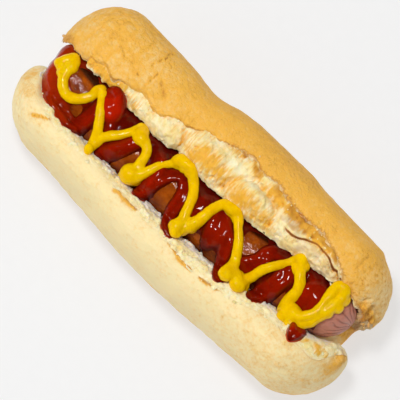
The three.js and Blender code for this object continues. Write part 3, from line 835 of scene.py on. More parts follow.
def crust_lines(x, y, z):
    """How much of a crack, a crease, a scuffed mark and a wrinkle there is at each point, 0 to 1."""
    wander_x, wander_y = x + 0.8 * noise(x, y, z, 2.2), y + 0.6 * noise(x, y, z, 1.6, 3.0)
    crack = sum(bell(off_line(wander_x, wander_y, line), 0, 0.36) for line in CRACKS)
    crease = sum(bell(off_line(x, y + 0.4 * noise(x, y, z, 2.5), line), 0, 0.45) for line in CREASES)
    mark = sum(bell(off_line(x, y + 0.7 * noise(x, y, z, 1.8), line), 0, 0.65) for line in SKIN_MARKS)
    wrinkle = smooth(-x, 10, 40) * bell(noise(x, y, z, (6.0, 4.2, 4.2), 8.0), 0, 0.12)
    wrinkle = wrinkle * smooth(noise(x, y, z, 16.0, 2.0), -0.3, 0.2)
    return crack, crease, mark, wrinkle


def crust_rise(x, y, z, crack, crease, mark, wrinkle):
    """How far the baked and torn surface stands out from the plain skin of the bun."""
    outside = smooth(sausage_distance(x, y, z), 1.0, 4.0)
    upper = smooth(z, 20, 26)
    rise = 0.45 * noise(x, y, z, (30, 22, 22)) + 0.24 * noise(x, y, z, (8, 6, 6), 3.0)
    rise = rise + 0.16 * noise(x, y, z, (2.6, 1.9, 1.9), 5.0) - 1.4 * smooth(x, 66, 73) * smooth(y, -2, 6)
    rise = rise - 0.3 * wrinkle
    rise = rise * outside + 0.12 * noise(x, y, z, 1.5, 9.0) * (1 - outside)
    rise = rise - (0.5 * crack + 0.3 * crease - 0.3 * mark) * upper
    # The golden half is torn at its right end, where the pale one curls up.
    torn = smooth(x, 62, 66) * smooth(y, -2, 2) * smooth(-y, -15, -12)
    torn = torn * smooth(-z, -40, -36) * smooth(z, 10, 18)
    rise = rise + (2.1 * noise(x, y, z, (2.8, 3.2, 4.0), 4.0) + 1.3 * noise(x, y, z, 1.6, 7.0)) * torn
    curl = smooth(x, 65, 69) * bell(y, -4.5, 4.5) * smooth(z, 20, 26)
    rise = rise + (0.6 + 1.3 * noise(x, y, z, 2.4, 11.0) + 0.7 * noise(x, y, z, 1.3, 12.0)) * curl
    rise = rise - 0.4 * bell(off_line(x, y, DENT), 0, 0.9) * upper
    rise = rise + 0.6 * bell(x, 57.8, 2.0) * bell(y, 28.5, 2.5) * upper
    return rise * smooth(z, 0.0, 1.5)


def crust_browning(x, y, z, crack, crease, mark, wrinkle):
    """The golden half is brown all over, the pale one only low down and at its ends."""
    upper, on_golden = smooth(z, 20, 26), smooth(y, -2, 6)
    golden = 0.47 + 0.06 * smooth(y, 18, 32) + 0.10 * bell(x, 12, 30) + 0.12 * smooth(x, 52, 74)
    golden = golden - 0.05 * smooth(-x, 10, 50) + 0.55 * crack + 0.3 * crease + 0.22 * wrinkle
    golden = golden - 0.28 * smooth(x, 58, 70)
    # The torn inner face at the right end of the golden half is made brown: partly its own colour, partly
    # painted shade under the crust above it.
    golden = golden + 0.6 * smooth(x, 62, 68) * smooth(-y, -13, -9) * smooth(-z, -38, -33)
    golden = golden + 0.42 * smooth(-x, 65, 70) * smooth(-y, -9, -7)
    golden = golden + 0.42 * bell(off_line(x, y, DENT), 0, 0.9)
    pale = 0.02 + 0.5 * smooth(-z, -16, -2) + spots(x, y, PALE_SPOTS) * upper
    pale = pale + 0.13 * smooth(x, 15, 60) + 0.04 * smooth(-x, 35, 60)
    pale = pale + 0.75 * mark * upper + 0.8 * crease * upper
    return golden * on_golden + pale * (1 - on_golden)


def bare_crumb(x, y, z, normals):
    """More than 0 where the bun shows crumb: by the torn strip, in the channel and between the halves."""
    scuffed = smooth(x, -12, 4)
    strip = (through(CRUST_EDGE, x) - y) * strip_ends(x) - 1.2 * (1 - strip_ends(x))
    strip = np.where((y > 0) & (z > 22), strip, -3)
    strip = (strip - 0.6 + 1.3 * scuffed * strip_ends(x)) * (1 - 0.6 * scuffed)
    channel = 1.0 - channel_distance(x, y, z) - 4 * smooth(-x, 60, 65) * smooth(y, 1, 3) * smooth(z, 26, 30)
    band = np.where((y < 0) & (z > 20), y - through(PALE_EDGE, x), -3) - 4 * smooth(np.abs(x), 69, 73)
    facing = np.where(y > 0, -normals[:, 1], normals[:, 1])
    between_halves = np.minimum(facing * 8 - 4.5 - 8 * smooth(normals[:, 2], 0.0, 0.4), 14 - np.abs(y))
    return np.clip(np.maximum.reduce([strip, channel, band, between_halves]), -3, 3)


def build_bun(settings):
    """The bun with its crust."""
    piece = new_mesh("bun", *bun_skin(settings.bun_pitch / MM))
    mesh = piece.data
    points, normals = read_points(mesh)
    x, y, z = points.T
    lines = crust_lines(x, y, z)
    points = points + normals * crust_rise(x, y, z, *lines)[:, None]
    points[:, 2] = np.maximum(points[:, 2], 0.0)
    write_points(mesh, points)
    keep(mesh, "browning", crust_browning(x, y, z, *lines))
    keep(mesh, "crumb", bare_crumb(x, y, z, normals))
    finish_piece(piece, bread_material(settings), "bun")


# ---------------------------------------------------------------- torn crumb


def fold_seam(x):
    """The line in plan where the crumb folds over itself."""
    return through(FOLD, x) + 0.5 * noise(x, 0.0, 0.0, 3.1, 4.0)


def far_crumb(block):
    """Distance to the crumb on the golden half, from under the crust to the lip beside the sausage."""
    x, y, z = block.x, block.y, block.z
    golden = block.distance(lobe_skin(GOLDEN_HALF, golden_sides))
    edge = through(CRUST_EDGE, x)
    seam = fold_seam(x)
    under_seam = (1 - smooth(y, seam - 0.4, seam + 0.2)) * smooth(x, 27, 36) * smooth(-x, -60, -54)
    extent = smooth(x, 29, 34) * smooth(-x, -60, -56)
    relief = (spots(x, y, BILLOWS) - torn_step(x)) * strip_ends(x)
    relief = relief - 1.0 * under_seam * bell(y, seam - 0.2, 1.4) - 0.8 * extent * bell(y, seam, 0.5)
    for line in VALLEYS:
        valley = off_line(x[:, :, 0], y[:, :, 0], line)[:, :, None]
        relief = relief - 1.5 * bell(valley, 0, 0.8) - 1.0 * bell(valley, 0, 2.4)
    strip = golden - relief * smooth(z, 24, 32) + 1.0 * (1 - strip_ends(x))
    strip = blend_max(strip, y - edge - 1.2 + 0 * strip, 0.6)
    strip = np.maximum(strip, np.maximum(-golden - FAR_ROOT, FAR_LOWEST - z))
    return np.maximum(strip, np.maximum(FAR_ENDS[0] - x, x - FAR_ENDS[1]))


def near_crumb(block):
    """Distance to the crumb on the pale half, which thickens towards the sausage."""
    x, y, z = block.x, block.y, block.z
    pale = block.distance(lobe_skin(PALE_HALF, pale_sides))
    edge = through(PALE_EDGE, x)
    band = pale + 0.25 - 0.6 * smooth(y, edge, edge + 2.5)
    band = np.maximum(band, edge - 0.5 - y)
    band = np.maximum(band, np.maximum(-pale - NEAR_ROOT, NEAR_LOWEST - z))
    return np.maximum(band, np.maximum(NEAR_ENDS[0] - x, x - NEAR_ENDS[1]))


def crumb_rise(x, y, z):
    """Relief of the torn crumb: drawn fibres on the far side, fluff on the near one."""
    far = smooth(y, -6, -1)
    rise = 0.42 * noise(x, y, z, (1.6, 9.0, 7.0), 1.0) + 0.40 * noise(x, y, z, (3.6, 12.0, 9.0), 6.0)
    rise = far * rise + (0.16 + 0.12 * far) * noise(x, y, z, (1.5, 2.4, 2.0), 4.0)
    rise = rise + (0.43 - 0.05 * far) * noise(x, y, z, 1.1, 8.0)
    rise = rise + 0.5 * (1 - far) * noise(x, y, z, 2.2, 3.0)
    rise = rise - 0.6 * smooth(noise(x, y, z, 1.4, 12.0), 0.3, 0.65)
    return rise * (1 - 0.55 * smooth(x, 57, 60) * (1 - far))


def by_the_crust(x, y, z):
    """More than 0 in a broken band along the edge of the golden crust."""
    edge = through(CRUST_EDGE, x)
    return smooth(y, edge - 4.0, edge + 0.5) * (0.7 + 0.9 * noise(x, y, z, 2.6, 3.0))


def crumb_gold(x, y, z):
    """How golden the torn crumb is; less than 0 where it is white and fluffy."""
    # Painted shade: the hollows between billows are tinted golden where shade falls in them.
    valley_shade = sum(bell(off_line(x, y, line), 0, 1.1) for line in VALLEYS)
    far = spots(x, y, STREAKS) + (0.3 + 0.3 * smooth(x, -8, 6)) * by_the_crust(x, y, z) + 0.2 * valley_shade
    beside = 1 - smooth(sausage_distance(x, y, z) + 2.5 * (y > sausage_y(x)), 3.5, 6.5)
    near = 0.9 * spots(x, y, STREAKS) - 1.1 * beside + 0.4 * smooth(x, 58, 63) * noise(x, y, z, 1.8, 2.0)
    return np.where(y > sausage_y(x), far - 0.5 * beside, near)


def crumb_rim(x, y, z):
    """How brown the torn crumb is where crust is left on it, and along its fold, where the dark seam line
    also paints the fold's shade.
    """
    scuffed = 0.45 * by_the_crust(x, y, z) * smooth(x, -8, 6) * smooth(-x, -56, -50)
    seam = fold_seam(x)
    patchy = (0.95 + 0.3 * noise(x, 0.0, 0.0, 2.2, 9.0)) * smooth(x, 29, 34) * smooth(-x, -60, -56)
    above = smooth(y, seam + 0.3, seam + 1.4) * smooth(x, 22, 32) * smooth(-x, -58, -52)
    below = (1 - smooth(y, seam - 0.8, seam)) * smooth(x, 30, 38) * smooth(-x, -60, -54)
    scuffed = np.maximum(scuffed, above * (0.44 + 0.22 * noise(x, y, z, 1.7, 7.0)))
    scuffed = np.maximum(scuffed, below * (0.32 + 0.12 * noise(x, y, z, 1.4, 3.0)))
    return np.maximum(1.5 * bell(y, seam, 0.3) * patchy, scuffed) * (y > 0)


def build_torn_crumb(settings):
    """The crumb on both torn lips of the bun."""
    material = crumb_material(settings)
    for name, corners, layer in (
        ("torn_crumb_far", FAR_CRUMB_BLOCK, far_crumb), ("torn_crumb_near", NEAR_CRUMB_BLOCK, near_crumb),
    ):
        block = Block(*corners, settings.crumb_pitch / MM)
        axes = block.x, block.y, block.z
        field = layer(block)
        close = np.abs(field) < 1.8
        field[close] -= crumb_rise(*(np.broadcast_to(axis, field.shape)[close] for axis in axes))
        field = blend_max(field, -np.clip(channel_distance(*axes), -4, 6), 0.5)
        piece = new_mesh(name, *block.skin(field))
        points, _ = read_points(piece.data)
        keep(piece.data, "gold", crumb_gold(*points.T))
        keep(piece.data, "rim", crumb_rim(*points.T))
        finish_piece(piece, material)


# ---------------------------------------------------------------- sausage


def sausage_skin(around=128, rings=300):
    """Points of the plain sausage in rings, with its tips last, and its faces."""
    start, end = SAUSAGE_TIPS
    share = np.linspace(0, 1, rings)[1:-1]
    x = (start + end) / 2 - (end - start) / 2 * np.cos(share * math.pi)
    radius = SAUSAGE_RADIUS * quarter_round(np.minimum(x - start, end - x), SAUSAGE_RADIUS)
    turn = np.linspace(0, 2 * math.pi, around, endpoint=False)
    y = sausage_y(x)[:, None] + radius[:, None] * np.cos(turn)
    z = SAUSAGE_HEIGHT + radius[:, None] * np.sin(turn)
    points = np.stack([np.broadcast_to(x[:, None], y.shape), y, z], -1).reshape(-1, 3)
    tips = [[tip, sausage_y(tip), SAUSAGE_HEIGHT] for tip in SAUSAGE_TIPS]
    return np.concatenate([points, tips]), tube_faces(len(x), around)


def build_sausage(settings):
    """The frankfurter, with its skin drawn together at both tips."""
    points, faces = sausage_skin()
    piece = new_mesh("sausage", points, *faces)
    mesh = piece.data
    points, normals = read_points(mesh)
    x, y, z = points.T
    reach = np.minimum(x - SAUSAGE_TIPS[0], SAUSAGE_TIPS[1] - x)
    # The skin is drawn together in folds round each tip.
    angle = np.arctan2(z - SAUSAGE_HEIGHT, y - sausage_y(x))
    folds = np.abs(np.sin(8.5 * angle + 1.6 * noise(x, y, z, 3.0))) ** 0.6
    crease = (1 - folds) * bell(reach, 1.8, 3.4)
    skin = 0.16 * noise(x, y, z, (5.0, 3.0, 3.0)) + 0.12 * noise(x, y, z, (2.0, 1.2, 1.2), 4.0)
    write_points(mesh, points + normals * (skin * smooth(reach, 0.2, 3) - 0.45 * crease)[:, None])
    keep(mesh, "tip", smooth(x, 55, 62) + smooth(-x, 62, 66))
    # Painted shade: the skin is darkened in the gap under the golden half, where the lip's shadow falls.
    shaded = 1.6 * smooth(y - sausage_y(x) - 1.8 * smooth(x, -50, 10), 1.5, 3.4) * smooth(reach, 6, 10)
    # The crease value, kept for the material, also paints shade into the folds at the tips.
    keep(mesh, "crease", np.maximum(np.clip(crease * 1.1, 0, 1), shaded))
    finish_piece(piece, sausage_material(settings), "sausage")


# ---------------------------------------------------------------- ketchup


def line_depth(x, y, line, spread, blunt, ridge):
    """Depth of a line of sauce at a place in plan; less than 0 is the distance from it."""
    stations = np.array(line, float)
    place = np.arange(len(stations))
    fine = np.linspace(0, len(stations) - 1, 14 * (len(stations) - 1) + 1)
    cx, cy, half, deep = (through(np.stack([place, stations[:, k]], -1), fine) for k in range(4))
    half = half * spread
    best = np.full(np.broadcast(x, y).shape, 9.0)
    side = np.zeros(best.shape)
    width, height = np.ones(best.shape), np.ones(best.shape)
    for i in range(len(fine)):
        away = np.hypot(x - cx[i], y - cy[i]) / half[i]
        nearer = away < best
        j, k = min(i + 1, len(fine) - 1), max(i - 1, 0)
        tx, ty = cx[j] - cx[k], cy[j] - cy[k]
        across = ((x - cx[i]) * ty - (y - cy[i]) * tx) / (math.hypot(tx, ty) * half[i])
        best = np.where(nearer, away, best)
        side = np.where(nearer, across, side)
        width = np.where(nearer, half[i], width)
        height = np.where(nearer, deep[i], height)
    crown = np.clip(1 - best ** blunt, 0, 1) ** 0.55
    ridges = 1 + ridge * np.cos(side * 4.0 + len(line)) * crown
    return np.where(best < 1, height * crown * ridges, (1 - best) * width)


def ribbon_depth(x, y):
    """Depth of the lines of ketchup on the sausage."""
    depth = np.full(np.broadcast(x, y).shape, -9.0)
    for line in KETCHUP_LINES:
        depth = -blend_min(-depth, -line_depth(x, y, line, LINE_SPREAD, LINE_SQUARENESS, LINE_RIDGES), 0.5)
    return depth


def drop_depth(x, y):
    """Depth of the round drop of ketchup."""
    return line_depth(x, y, KETCHUP_DROP, DROP_SPREAD, DROP_SQUARENESS, 0.0)


def film_depth(x, y):
    """Depth of the thin film that joins the lines and leaves some of the skin bare."""
    near, far = sausage_y(x) - FILM_REACH, sausage_y(x) + FILM_REACH
    inside = np.minimum(np.minimum(y - near, far - y), np.minimum(x - FILM_ENDS[0], FILM_ENDS[1] - x))
    for cx, cy, a, b in BARE_SKIN:
        away = (np.hypot((x - cx) / a, (y - cy) / b) - 1) * min(a, b)
        inside = blend_min(inside, away + 0.5 * noise(x, y, 0.0, 2.6, cx), 0.8)
    uneven = 1 + 0.5 * noise(x, y, 0.0, 2.0, 4.0)
    return np.where(inside > 0, FILM_DEPTH * np.clip(inside / FILM_EDGE, 0, 1) * uneven, inside)


def laid_on(bed, depth):
    """Distance to sauce of a depth that lies on a bed."""
    return np.maximum(bed - depth, -bed - SAUCE_ROOT)


def ketchup_skin(pitch):
    """The skin of the lines, the film, the drop and the lump at the left tip, as one piece."""
    block = Block(*KETCHUP_BLOCK, pitch)
    bed, sausage, lip = bed_distances(block)
    x, y = block.x[:, :, 0], block.y[:, :, 0]
    ribbons = ribbon_depth(x, y)
    uneven = 0.4 * noise(x, y, 0.0, 3.0, 6.0) + 0.25 * noise(x, y, 0.0, 1.4, 2.0) - 0.15
    ribbons = (ribbons + uneven * smooth(ribbons, 0.1, 0.9))[:, :, None]
    film, drop = film_depth(x, y)[:, :, None], drop_depth(x, y)[:, :, None]
    field = blend_min(laid_on(bed, ribbons), laid_on(sausage, film), 0.4)
    field = blend_min(field, laid_on(blend_min(bed, lip, 4.0), drop), 0.5)
    axes = block.x, block.y, block.z
    lump = np.sqrt(sum(((axis - middle) / reach) ** 2 for axis, (middle, reach) in zip(axes, TIP_LUMP)))
    field = blend_min(field, (lump - 1) * TIP_LUMP[0][1], 1.6)
    lower = KETCHUP_LOWEST + 2.5 * noise(x, y, 0.0, 3.0, 1.0) - 0.35 * (sausage_y(x) + 3 - y)
    return block.skin(np.maximum(field, lower[:, :, None] - block.z))


def build_ketchup(settings):
    """The ketchup, evened out and with its depth kept for its colour; the depth is lowered towards the golden
    lip to paint its shade.
    """
    piece = new_mesh("ketchup", *ketchup_skin(settings.ketchup_pitch / MM))
    points, _ = read_points(piece.data)
    for _ in range(2):
        points = relax(piece.data, points)
    write_points(piece.data, points)
    x, y, z = points.T
    ribbons, film, drop = ribbon_depth(x, y), film_depth(x, y), drop_depth(x, y)
    # Painted shade: towards the golden lip the depth is lowered, so the ketchup takes the darker film colour
    # where the lip shades it.
    shaded = 1 - 0.6 * smooth(y - sausage_y(x), 1.5, 6.0)
    keep(piece.data, "depth", np.maximum(np.maximum(ribbons * shaded, film), 1.15 * drop))
    on_bread = smooth(sausage_distance(x, y, z), 1.5, 3.0)
    at_tip = 0.45 * smooth(-x, 45, 52) + 0.15 * smooth(-x, 61, 66)
    keep(piece.data, "thin", np.maximum(on_bread * smooth(-np.maximum(ribbons, drop), -0.9, 0.1), at_tip))
    finish_piece(piece, ketchup_material(settings), "ketchup")


def relax(mesh, points):
    """Moves each point halfway to the middle of its neighbours."""
    ends = np.empty(len(mesh.edges) * 2, np.int32)
    mesh.edges.foreach_get("vertices", ends)
    a, b = ends.reshape(-1, 2).T
    total, count = np.zeros_like(points), np.zeros(len(points))
    np.add.at(total, a, points[b])
    np.add.at(total, b, points[a])
    np.add.at(count, a, 1)
    np.add.at(count, b, 1)
    return 0.5 * points + 0.5 * total / np.maximum(count, 1)[:, None]


# ---------------------------------------------------------------- mustard


def height_over(names):
    """A function that gives the height of the highest surface of those pieces at places in plan."""
    trees = []
    for name in names:
        mesh = bpy.data.objects[name].data
        points, _ = read_points(mesh)
        trees.append(BVHTree.FromPolygons(points.tolist(), [tuple(p.vertices) for p in mesh.polygons]))

    def height(x, y):
        hits = [tree.ray_cast(Vector((x, y, 90)), Vector((0, 0, -1)))[0] for tree in trees]
        return max((hit.z for hit in hits if hit), default=0.0)

    return height


def laid_line(line, height, lift):
    """Places along a line of sauce, at the height where it comes to rest."""
    stations = np.array(line, float)
    steps = np.hypot(*np.diff(stations[:, :2], axis=0).T)
    place = np.concatenate([[0], np.cumsum(steps)])
    fine = np.arange(0, place[-1], LINE_STEP)
    x, y, half = (through(np.stack([place, stations[:, k]], -1), fine) for k in range(3))
    felt = ((0, 0), (0.6, 0), (-0.6, 0), (0, 0.6), (0, -0.6), (0.4, 0.4), (-0.4, -0.4))
    rest = []
    for cx, cy, r in zip(x, y, half):
        found = [height(cx + a * r, cy + b * r) for a, b in felt]
        rest.append(0.5 * max(found) + 0.5 * np.mean(found))
    weights = np.hanning(2 * LINE_EASE + 1)
    padded = np.pad(np.array(rest), LINE_EASE, mode="edge")
    rest = np.convolve(padded, weights / weights.sum(), mode="valid")
    return np.stack([x, y, rest + half * lift], -1), half


def start_tree(name, numbers):
    """An empty node tree with named inputs, the numbers among them, and those inputs as outputs."""
    tree = bpy.data.node_groups.new(name, "GeometryNodeTree")
    face = tree.interface
    face.new_socket("Geometry", in_out="INPUT", socket_type="NodeSocketGeometry")
    for label, value in numbers.items():
        kind = "NodeSocketInt" if isinstance(value, int) else "NodeSocketFloat"
        face.new_socket(label, in_out="INPUT", socket_type=kind).default_value = value
    face.new_socket("Material", in_out="INPUT", socket_type="NodeSocketMaterial")
    face.new_socket("Geometry", in_out="OUTPUT", socket_type="NodeSocketGeometry")
    return tree, add(tree, "NodeGroupInput").outputs


def finish_tree(tree, shape, height, length, seed, material):
    """The end of a node tree: noise of a height and a length moves the surface, which turns smooth."""
    place = add(tree, "GeometryNodeInputPosition")
    scale = add(tree, "ShaderNodeMath", {0: 1.0, 1: length}, operation="DIVIDE")
    wave = add(
        tree, "ShaderNodeTexNoise", {"Vector": place, "W": seed, "Scale": scale, "Detail": 1.0},
        noise_dimensions="4D",
    )
    wave = add(tree, "ShaderNodeMath", {0: wave, 1: -0.5}, operation="ADD")
    wave = add(tree, "ShaderNodeMath", {0: wave, 1: height}, operation="MULTIPLY")
    normal = add(tree, "GeometryNodeInputNormal")
    push = add(tree, "ShaderNodeVectorMath", {0: normal, "Scale": wave}, operation="SCALE")
    moved = add(tree, "GeometryNodeSetPosition", {"Geometry": shape, "Offset": push})
    soft = add(tree, "GeometryNodeSetShadeSmooth", {0: moved})
    real = add(tree, "GeometryNodeRealizeInstances", {0: soft})
    done = add(tree, "GeometryNodeSetMaterial", {"Geometry": real, "Material": material})
    add(tree, "NodeGroupOutput", {0: done})


def piped_tree(name):
    """Geometry Nodes that swell close points to a rope of sauce, smooth it and ripple it."""
    tree, given = start_tree(name, {
        "Swell": 1.0, "Grain": 0.3 * MM, "Smoothing": 3, "Ripple height": 0.15 * MM,
        "Ripple length": 3.0 * MM, "Seed": 3.0,
    })
    radius = add(tree, "GeometryNodeInputNamedAttribute", {"Name": "half_width"}, data_type="FLOAT")
    radius = add(tree, "ShaderNodeMath", {0: radius, 1: given["Swell"]}, operation="MULTIPLY")
    points = add(tree, "GeometryNodeMeshToPoints", {"Mesh": given["Geometry"]})
    volume = add(
        tree, "GeometryNodePointsToVolume",
        {"Points": points, "Voxel Size": given["Grain"], "Radius": radius}, resolution_mode="VOXEL_SIZE",
    )
    rope = add(
        tree, "GeometryNodeVolumeToMesh", {"Volume": volume, "Voxel Size": given["Grain"], "Threshold": 0.1},
        resolution_mode="VOXEL_SIZE",
    )
    blurred = add(
        tree, "GeometryNodeBlurAttribute",
        {"Value": add(tree, "GeometryNodeInputPosition"), "Iterations": given["Smoothing"]},
        data_type="FLOAT_VECTOR",
    )
    even = add(tree, "GeometryNodeSetPosition", {"Geometry": rope, "Position": blurred})
    finish_tree(
        tree, even, given["Ripple height"], given["Ripple length"], given["Seed"], given["Material"]
    )
    return tree


def through_nodes(source, tree, values):
    """The mesh that a node tree makes of an object, as a new plain object; the source is removed."""
    name = source.name
    modifier = source.modifiers.new("shape", "NODES")
    modifier.node_group = tree
    for socket in tree.interface.items_tree:
        if socket.in_out == "INPUT" and socket.name in values:
            modifier[socket.identifier] = values[socket.name]
    bpy.context.view_layer.update()
    evaluated = source.evaluated_get(bpy.context.evaluated_depsgraph_get())
    mesh = bpy.data.meshes.new_from_object(evaluated)
    bpy.data.objects.remove(source)
    mesh.name = name
    piece = bpy.data.objects.new(name, mesh)
    bpy.context.scene.collection.objects.link(piece)
    return piece


def scattered(name, places, values):
    """Loose points in millimetres, each with its own values for a node tree to read."""
    piece = new_mesh(name, places)
    for label, value in values.items():
        kind, part = ("FLOAT", "value") if value.ndim == 1 else ("FLOAT_VECTOR", "vector")
        attribute = piece.data.attributes.new(label, kind, "POINT")
        attribute.data.foreach_set(part, np.asarray(value, np.float32).ravel())
    return piece


def build_mustard(settings):
    """The line and the pools of mustard, laid over all that is below them."""
    height = height_over(["bun", "torn_crumb_far", "torn_crumb_near", "sausage", "ketchup"])
    places, half = laid_line(MUSTARD_LINE, height, LINE_LIFT)
    felt = ((0, 0), (1.5, 0), (-1.5, 0), (0, 1.5), (0, -1.5))
    for x, y, radius in MUSTARD_POOLS:
        rest = np.mean([height(x + a, y + b) for a, b in felt])
        places = np.concatenate([places, [[x, y, rest + POOL_HEIGHT - radius]]])
        half = np.append(half, POOL_SPREAD * radius)
    material = mustard_material(settings)
    source = scattered("mustard", places, {"half_width": half * MM})
    piece = through_nodes(source, piped_tree("piped_mustard"), {
        "Grain": settings.mustard_pitch, "Swell": 1.0, "Smoothing": 2, "Ripple height": 0.45 * MM,
        "Ripple length": 2.6 * MM, "Material": material,
    })
    finish_piece(piece, material, "mustard")


# ---------------------------------------------------------------- bits


def bits_tree(name):
    """Geometry Nodes that put a lumpy bit at each point, with the size and turn kept there."""
    tree, given = start_tree(name, {"Lump height": 0.5 * MM, "Lump length": 0.8 * MM, "Seed": 5.0})
    size, turn = (
        add(tree, "GeometryNodeInputNamedAttribute", {"Name": label}, data_type="FLOAT_VECTOR")
        for label in ("size", "turn")
    )
    turn = add(tree, "FunctionNodeEulerToRotation", {0: turn})
    ball = add(tree, "GeometryNodeMeshIcoSphere", {"Radius": 0.5, "Subdivisions": 2})
    bits = add(tree, "GeometryNodeInstanceOnPoints", {
        "Points": given["Geometry"], "Instance": ball, "Rotation": turn, "Scale": size,
    })
    real = add(tree, "GeometryNodeRealizeInstances", {0: bits})
    finish_tree(tree, real, given["Lump height"], given["Lump length"], given["Seed"], given["Material"])
    return tree


def crust_bits():
    """Place, size, turn, gold and browning of each bit torn from the crust."""
    for x, y, z, long, wide, thick, turn in CRUST_BITS:
        gold, browned = (0.3, 0.55) if abs(x) > CRUST_ENDS else (-0.2, 0.0)
        yield (x, y, z), (long, wide, thick), (0.3, 0.2, math.radians(turn)), gold, browned


def loose_crumbs(bread, sauce):
    """Place, size, turn, gold and browning of crumbs along both torn edges, where no sauce lies."""
    dice = np.random.default_rng(5)
    for _ in range(LOOSE_CRUMBS):
        x = dice.uniform(-CRUMB_REACH, CRUMB_REACH)
        far = dice.random() < FAR_SHARE
        if far:
            y = through(CRUST_EDGE, x) + dice.normal(-1.0, 1.6)
        else:
            y = sausage_y(x) - NEAR_OFFSET - abs(dice.normal(0, 2.2))
        size = dice.uniform(*CRUMB_SIZES)
        if sauce(x, y) > bread(x, y):
            continue
        place = (x, y, bread(x, y) + 0.15 * size)
        sizes, turn = size * dice.uniform(0.7, 1.2, 3), dice.uniform(0, 3, 3)
        yield place, sizes, turn, dice.uniform(0.0, 0.6) if far else dice.uniform(-0.6, 0.3), 0.0


def build_crumbs(settings):
    """The bits torn from the crust and the loose crumbs, as one piece."""
    bread = height_over(["bun", "torn_crumb_far", "torn_crumb_near"])
    sauce = height_over(["ketchup", "mustard"])
    bits = [*crust_bits(), *loose_crumbs(bread, sauce)]
    places, sizes, turns, gold, browned = (np.array(column) for column in zip(*bits))
    source = scattered("crumbs", places, {"size": sizes * MM, "turn": turns, "gold": gold, "rim": browned})
    material = crumb_material(settings)
    piece = through_nodes(source, bits_tree("torn_bits"), {"Material": material})
    finish_piece(piece, material)


# ---------------------------------------------------------------- stage


def aim(thing, target):
    """Turns a lamp or a camera towards a place."""
    thing.rotation_euler = (Vector(target) - thing.location).to_track_quat("-Z", "Y").to_euler()


def lamp(name, place, size, power, mirrored=False):
    """A round area lamp; only a mirrored one shows in wet surfaces."""
    data = bpy.data.lights.new(name, "AREA")
    data.shape = "DISK"
    data.size = size
    data.energy = power
    thing = bpy.data.objects.new(name, data)
    bpy.context.scene.collection.objects.link(thing)
    thing.location = place
    thing.visible_glossy = mirrored
    aim(thing, LAMPS_AIM)


def build_floor(settings):
    """A brightly lit sheet of matt paper under the hot dog."""
    mesh = bpy.data.meshes.new("floor")
    half = FLOOR_SIDE / 2
    corners = [(-half, -half, 0), (half, -half, 0), (half, half, 0), (-half, half, 0)]
    mesh.from_pydata(corners, [], [(0, 1, 2, 3)])
    floor = bpy.data.objects.new("floor", mesh)
    bpy.context.scene.collection.objects.link(floor)
    paper, tree, place = start_material("matt_paper")
    tone = add(tree, "ShaderNodeTexNoise", {"Vector": place, "Scale": 1 / 4.0, "Detail": 2.0})
    tone = add(
        tree, "ShaderNodeMix", {"Factor": tone, "A": settings.floor[:], "B": settings.floor_light[:]},
        data_type="RGBA",
    )
    surface = add(tree, "ShaderNodeBsdfPrincipled", {
        "Base Color": tone, "Roughness": 0.9, "Specular IOR Level": 0.1,
        "Emission Color": linear("FFFFFF"), "Emission Strength": settings.floor_glow,
    })
    add(tree, "ShaderNodeOutputMaterial", {"Surface": surface})
    mesh.materials.append(paper)


def build_lights(settings):
    """Even light all round, a small lamp for the highlights, and softboxes that wet surfaces don't show."""
    world = bpy.data.worlds.new("studio")
    bpy.context.scene.world = world
    world.use_nodes = True
    world.node_tree.nodes["Background"].inputs[0].default_value = linear("FFFFFF")
    world.node_tree.nodes["Background"].inputs[1].default_value = settings.room_light
    world.cycles_visibility.glossy = False
    lamp("key", KEY_PLACE, KEY_SIZE, settings.key_power, mirrored=True)
    lamp("near_softbox", NEAR_PLACE, NEAR_SIZE, settings.near_power)
    lamp("far_softbox", FAR_PLACE, FAR_SIZE, settings.far_power)
    lamp("left_softbox", LEFT_PLACE, SIDE_SIZE, LEFT_SHARE * settings.side_power)
    lamp("right_softbox", RIGHT_PLACE, SIDE_SIZE, RIGHT_SHARE * settings.side_power)


def build_camera():
    """A camera so far away that its picture has hardly any perspective."""
    camera = bpy.data.cameras.new("camera")
    camera.lens = LENS
    camera.sensor_width = SENSOR
    thing = bpy.data.objects.new("camera", camera)
    bpy.context.scene.collection.objects.link(thing)
    pixel = PIXEL * MM
    distance = PICTURE_SIDE * pixel * camera.lens / camera.sensor_width
    turn, tilt = math.radians(CAMERA_TURN), math.radians(CAMERA_TILT)
    toward = Vector((math.cos(tilt) * math.cos(turn), math.cos(tilt) * math.sin(turn), math.sin(tilt)))
    right = Vector((-math.sin(turn), math.cos(turn), 0))
    up = toward.cross(right)
    target = Vector((0, 0, AIM_HEIGHT * MM)) - right * (AIM_LEFT * pixel) + up * (AIM_UP * pixel)
    thing.location = target + toward * distance
    aim(thing, target)
    bpy.context.scene.camera = thing


def build_stage(settings):
    """The floor, the lights and the camera."""
    bpy.context.scene.view_settings.view_transform = "Standard"
    build_floor(settings)
    build_lights(settings)
    build_camera()


# ---------------------------------------------------------------- add-on


def colour(name, description, default):
    """A colour property from an sRGB hex colour."""
    return bpy.props.FloatVectorProperty(
        name=name, description=description, default=linear(default), size=4, min=0, max=1, subtype="COLOR"
    )


def length(name, description, default):
    """A length property from millimetres."""
    return bpy.props.FloatProperty(
        name=name, description=description, default=default * MM, min=0.1 * MM, precision=5, unit="LENGTH"
    )


def power(name, description, default):
    """A power property in watts."""
    return bpy.props.FloatProperty(name=name, description=description, default=default, min=0, unit="POWER")


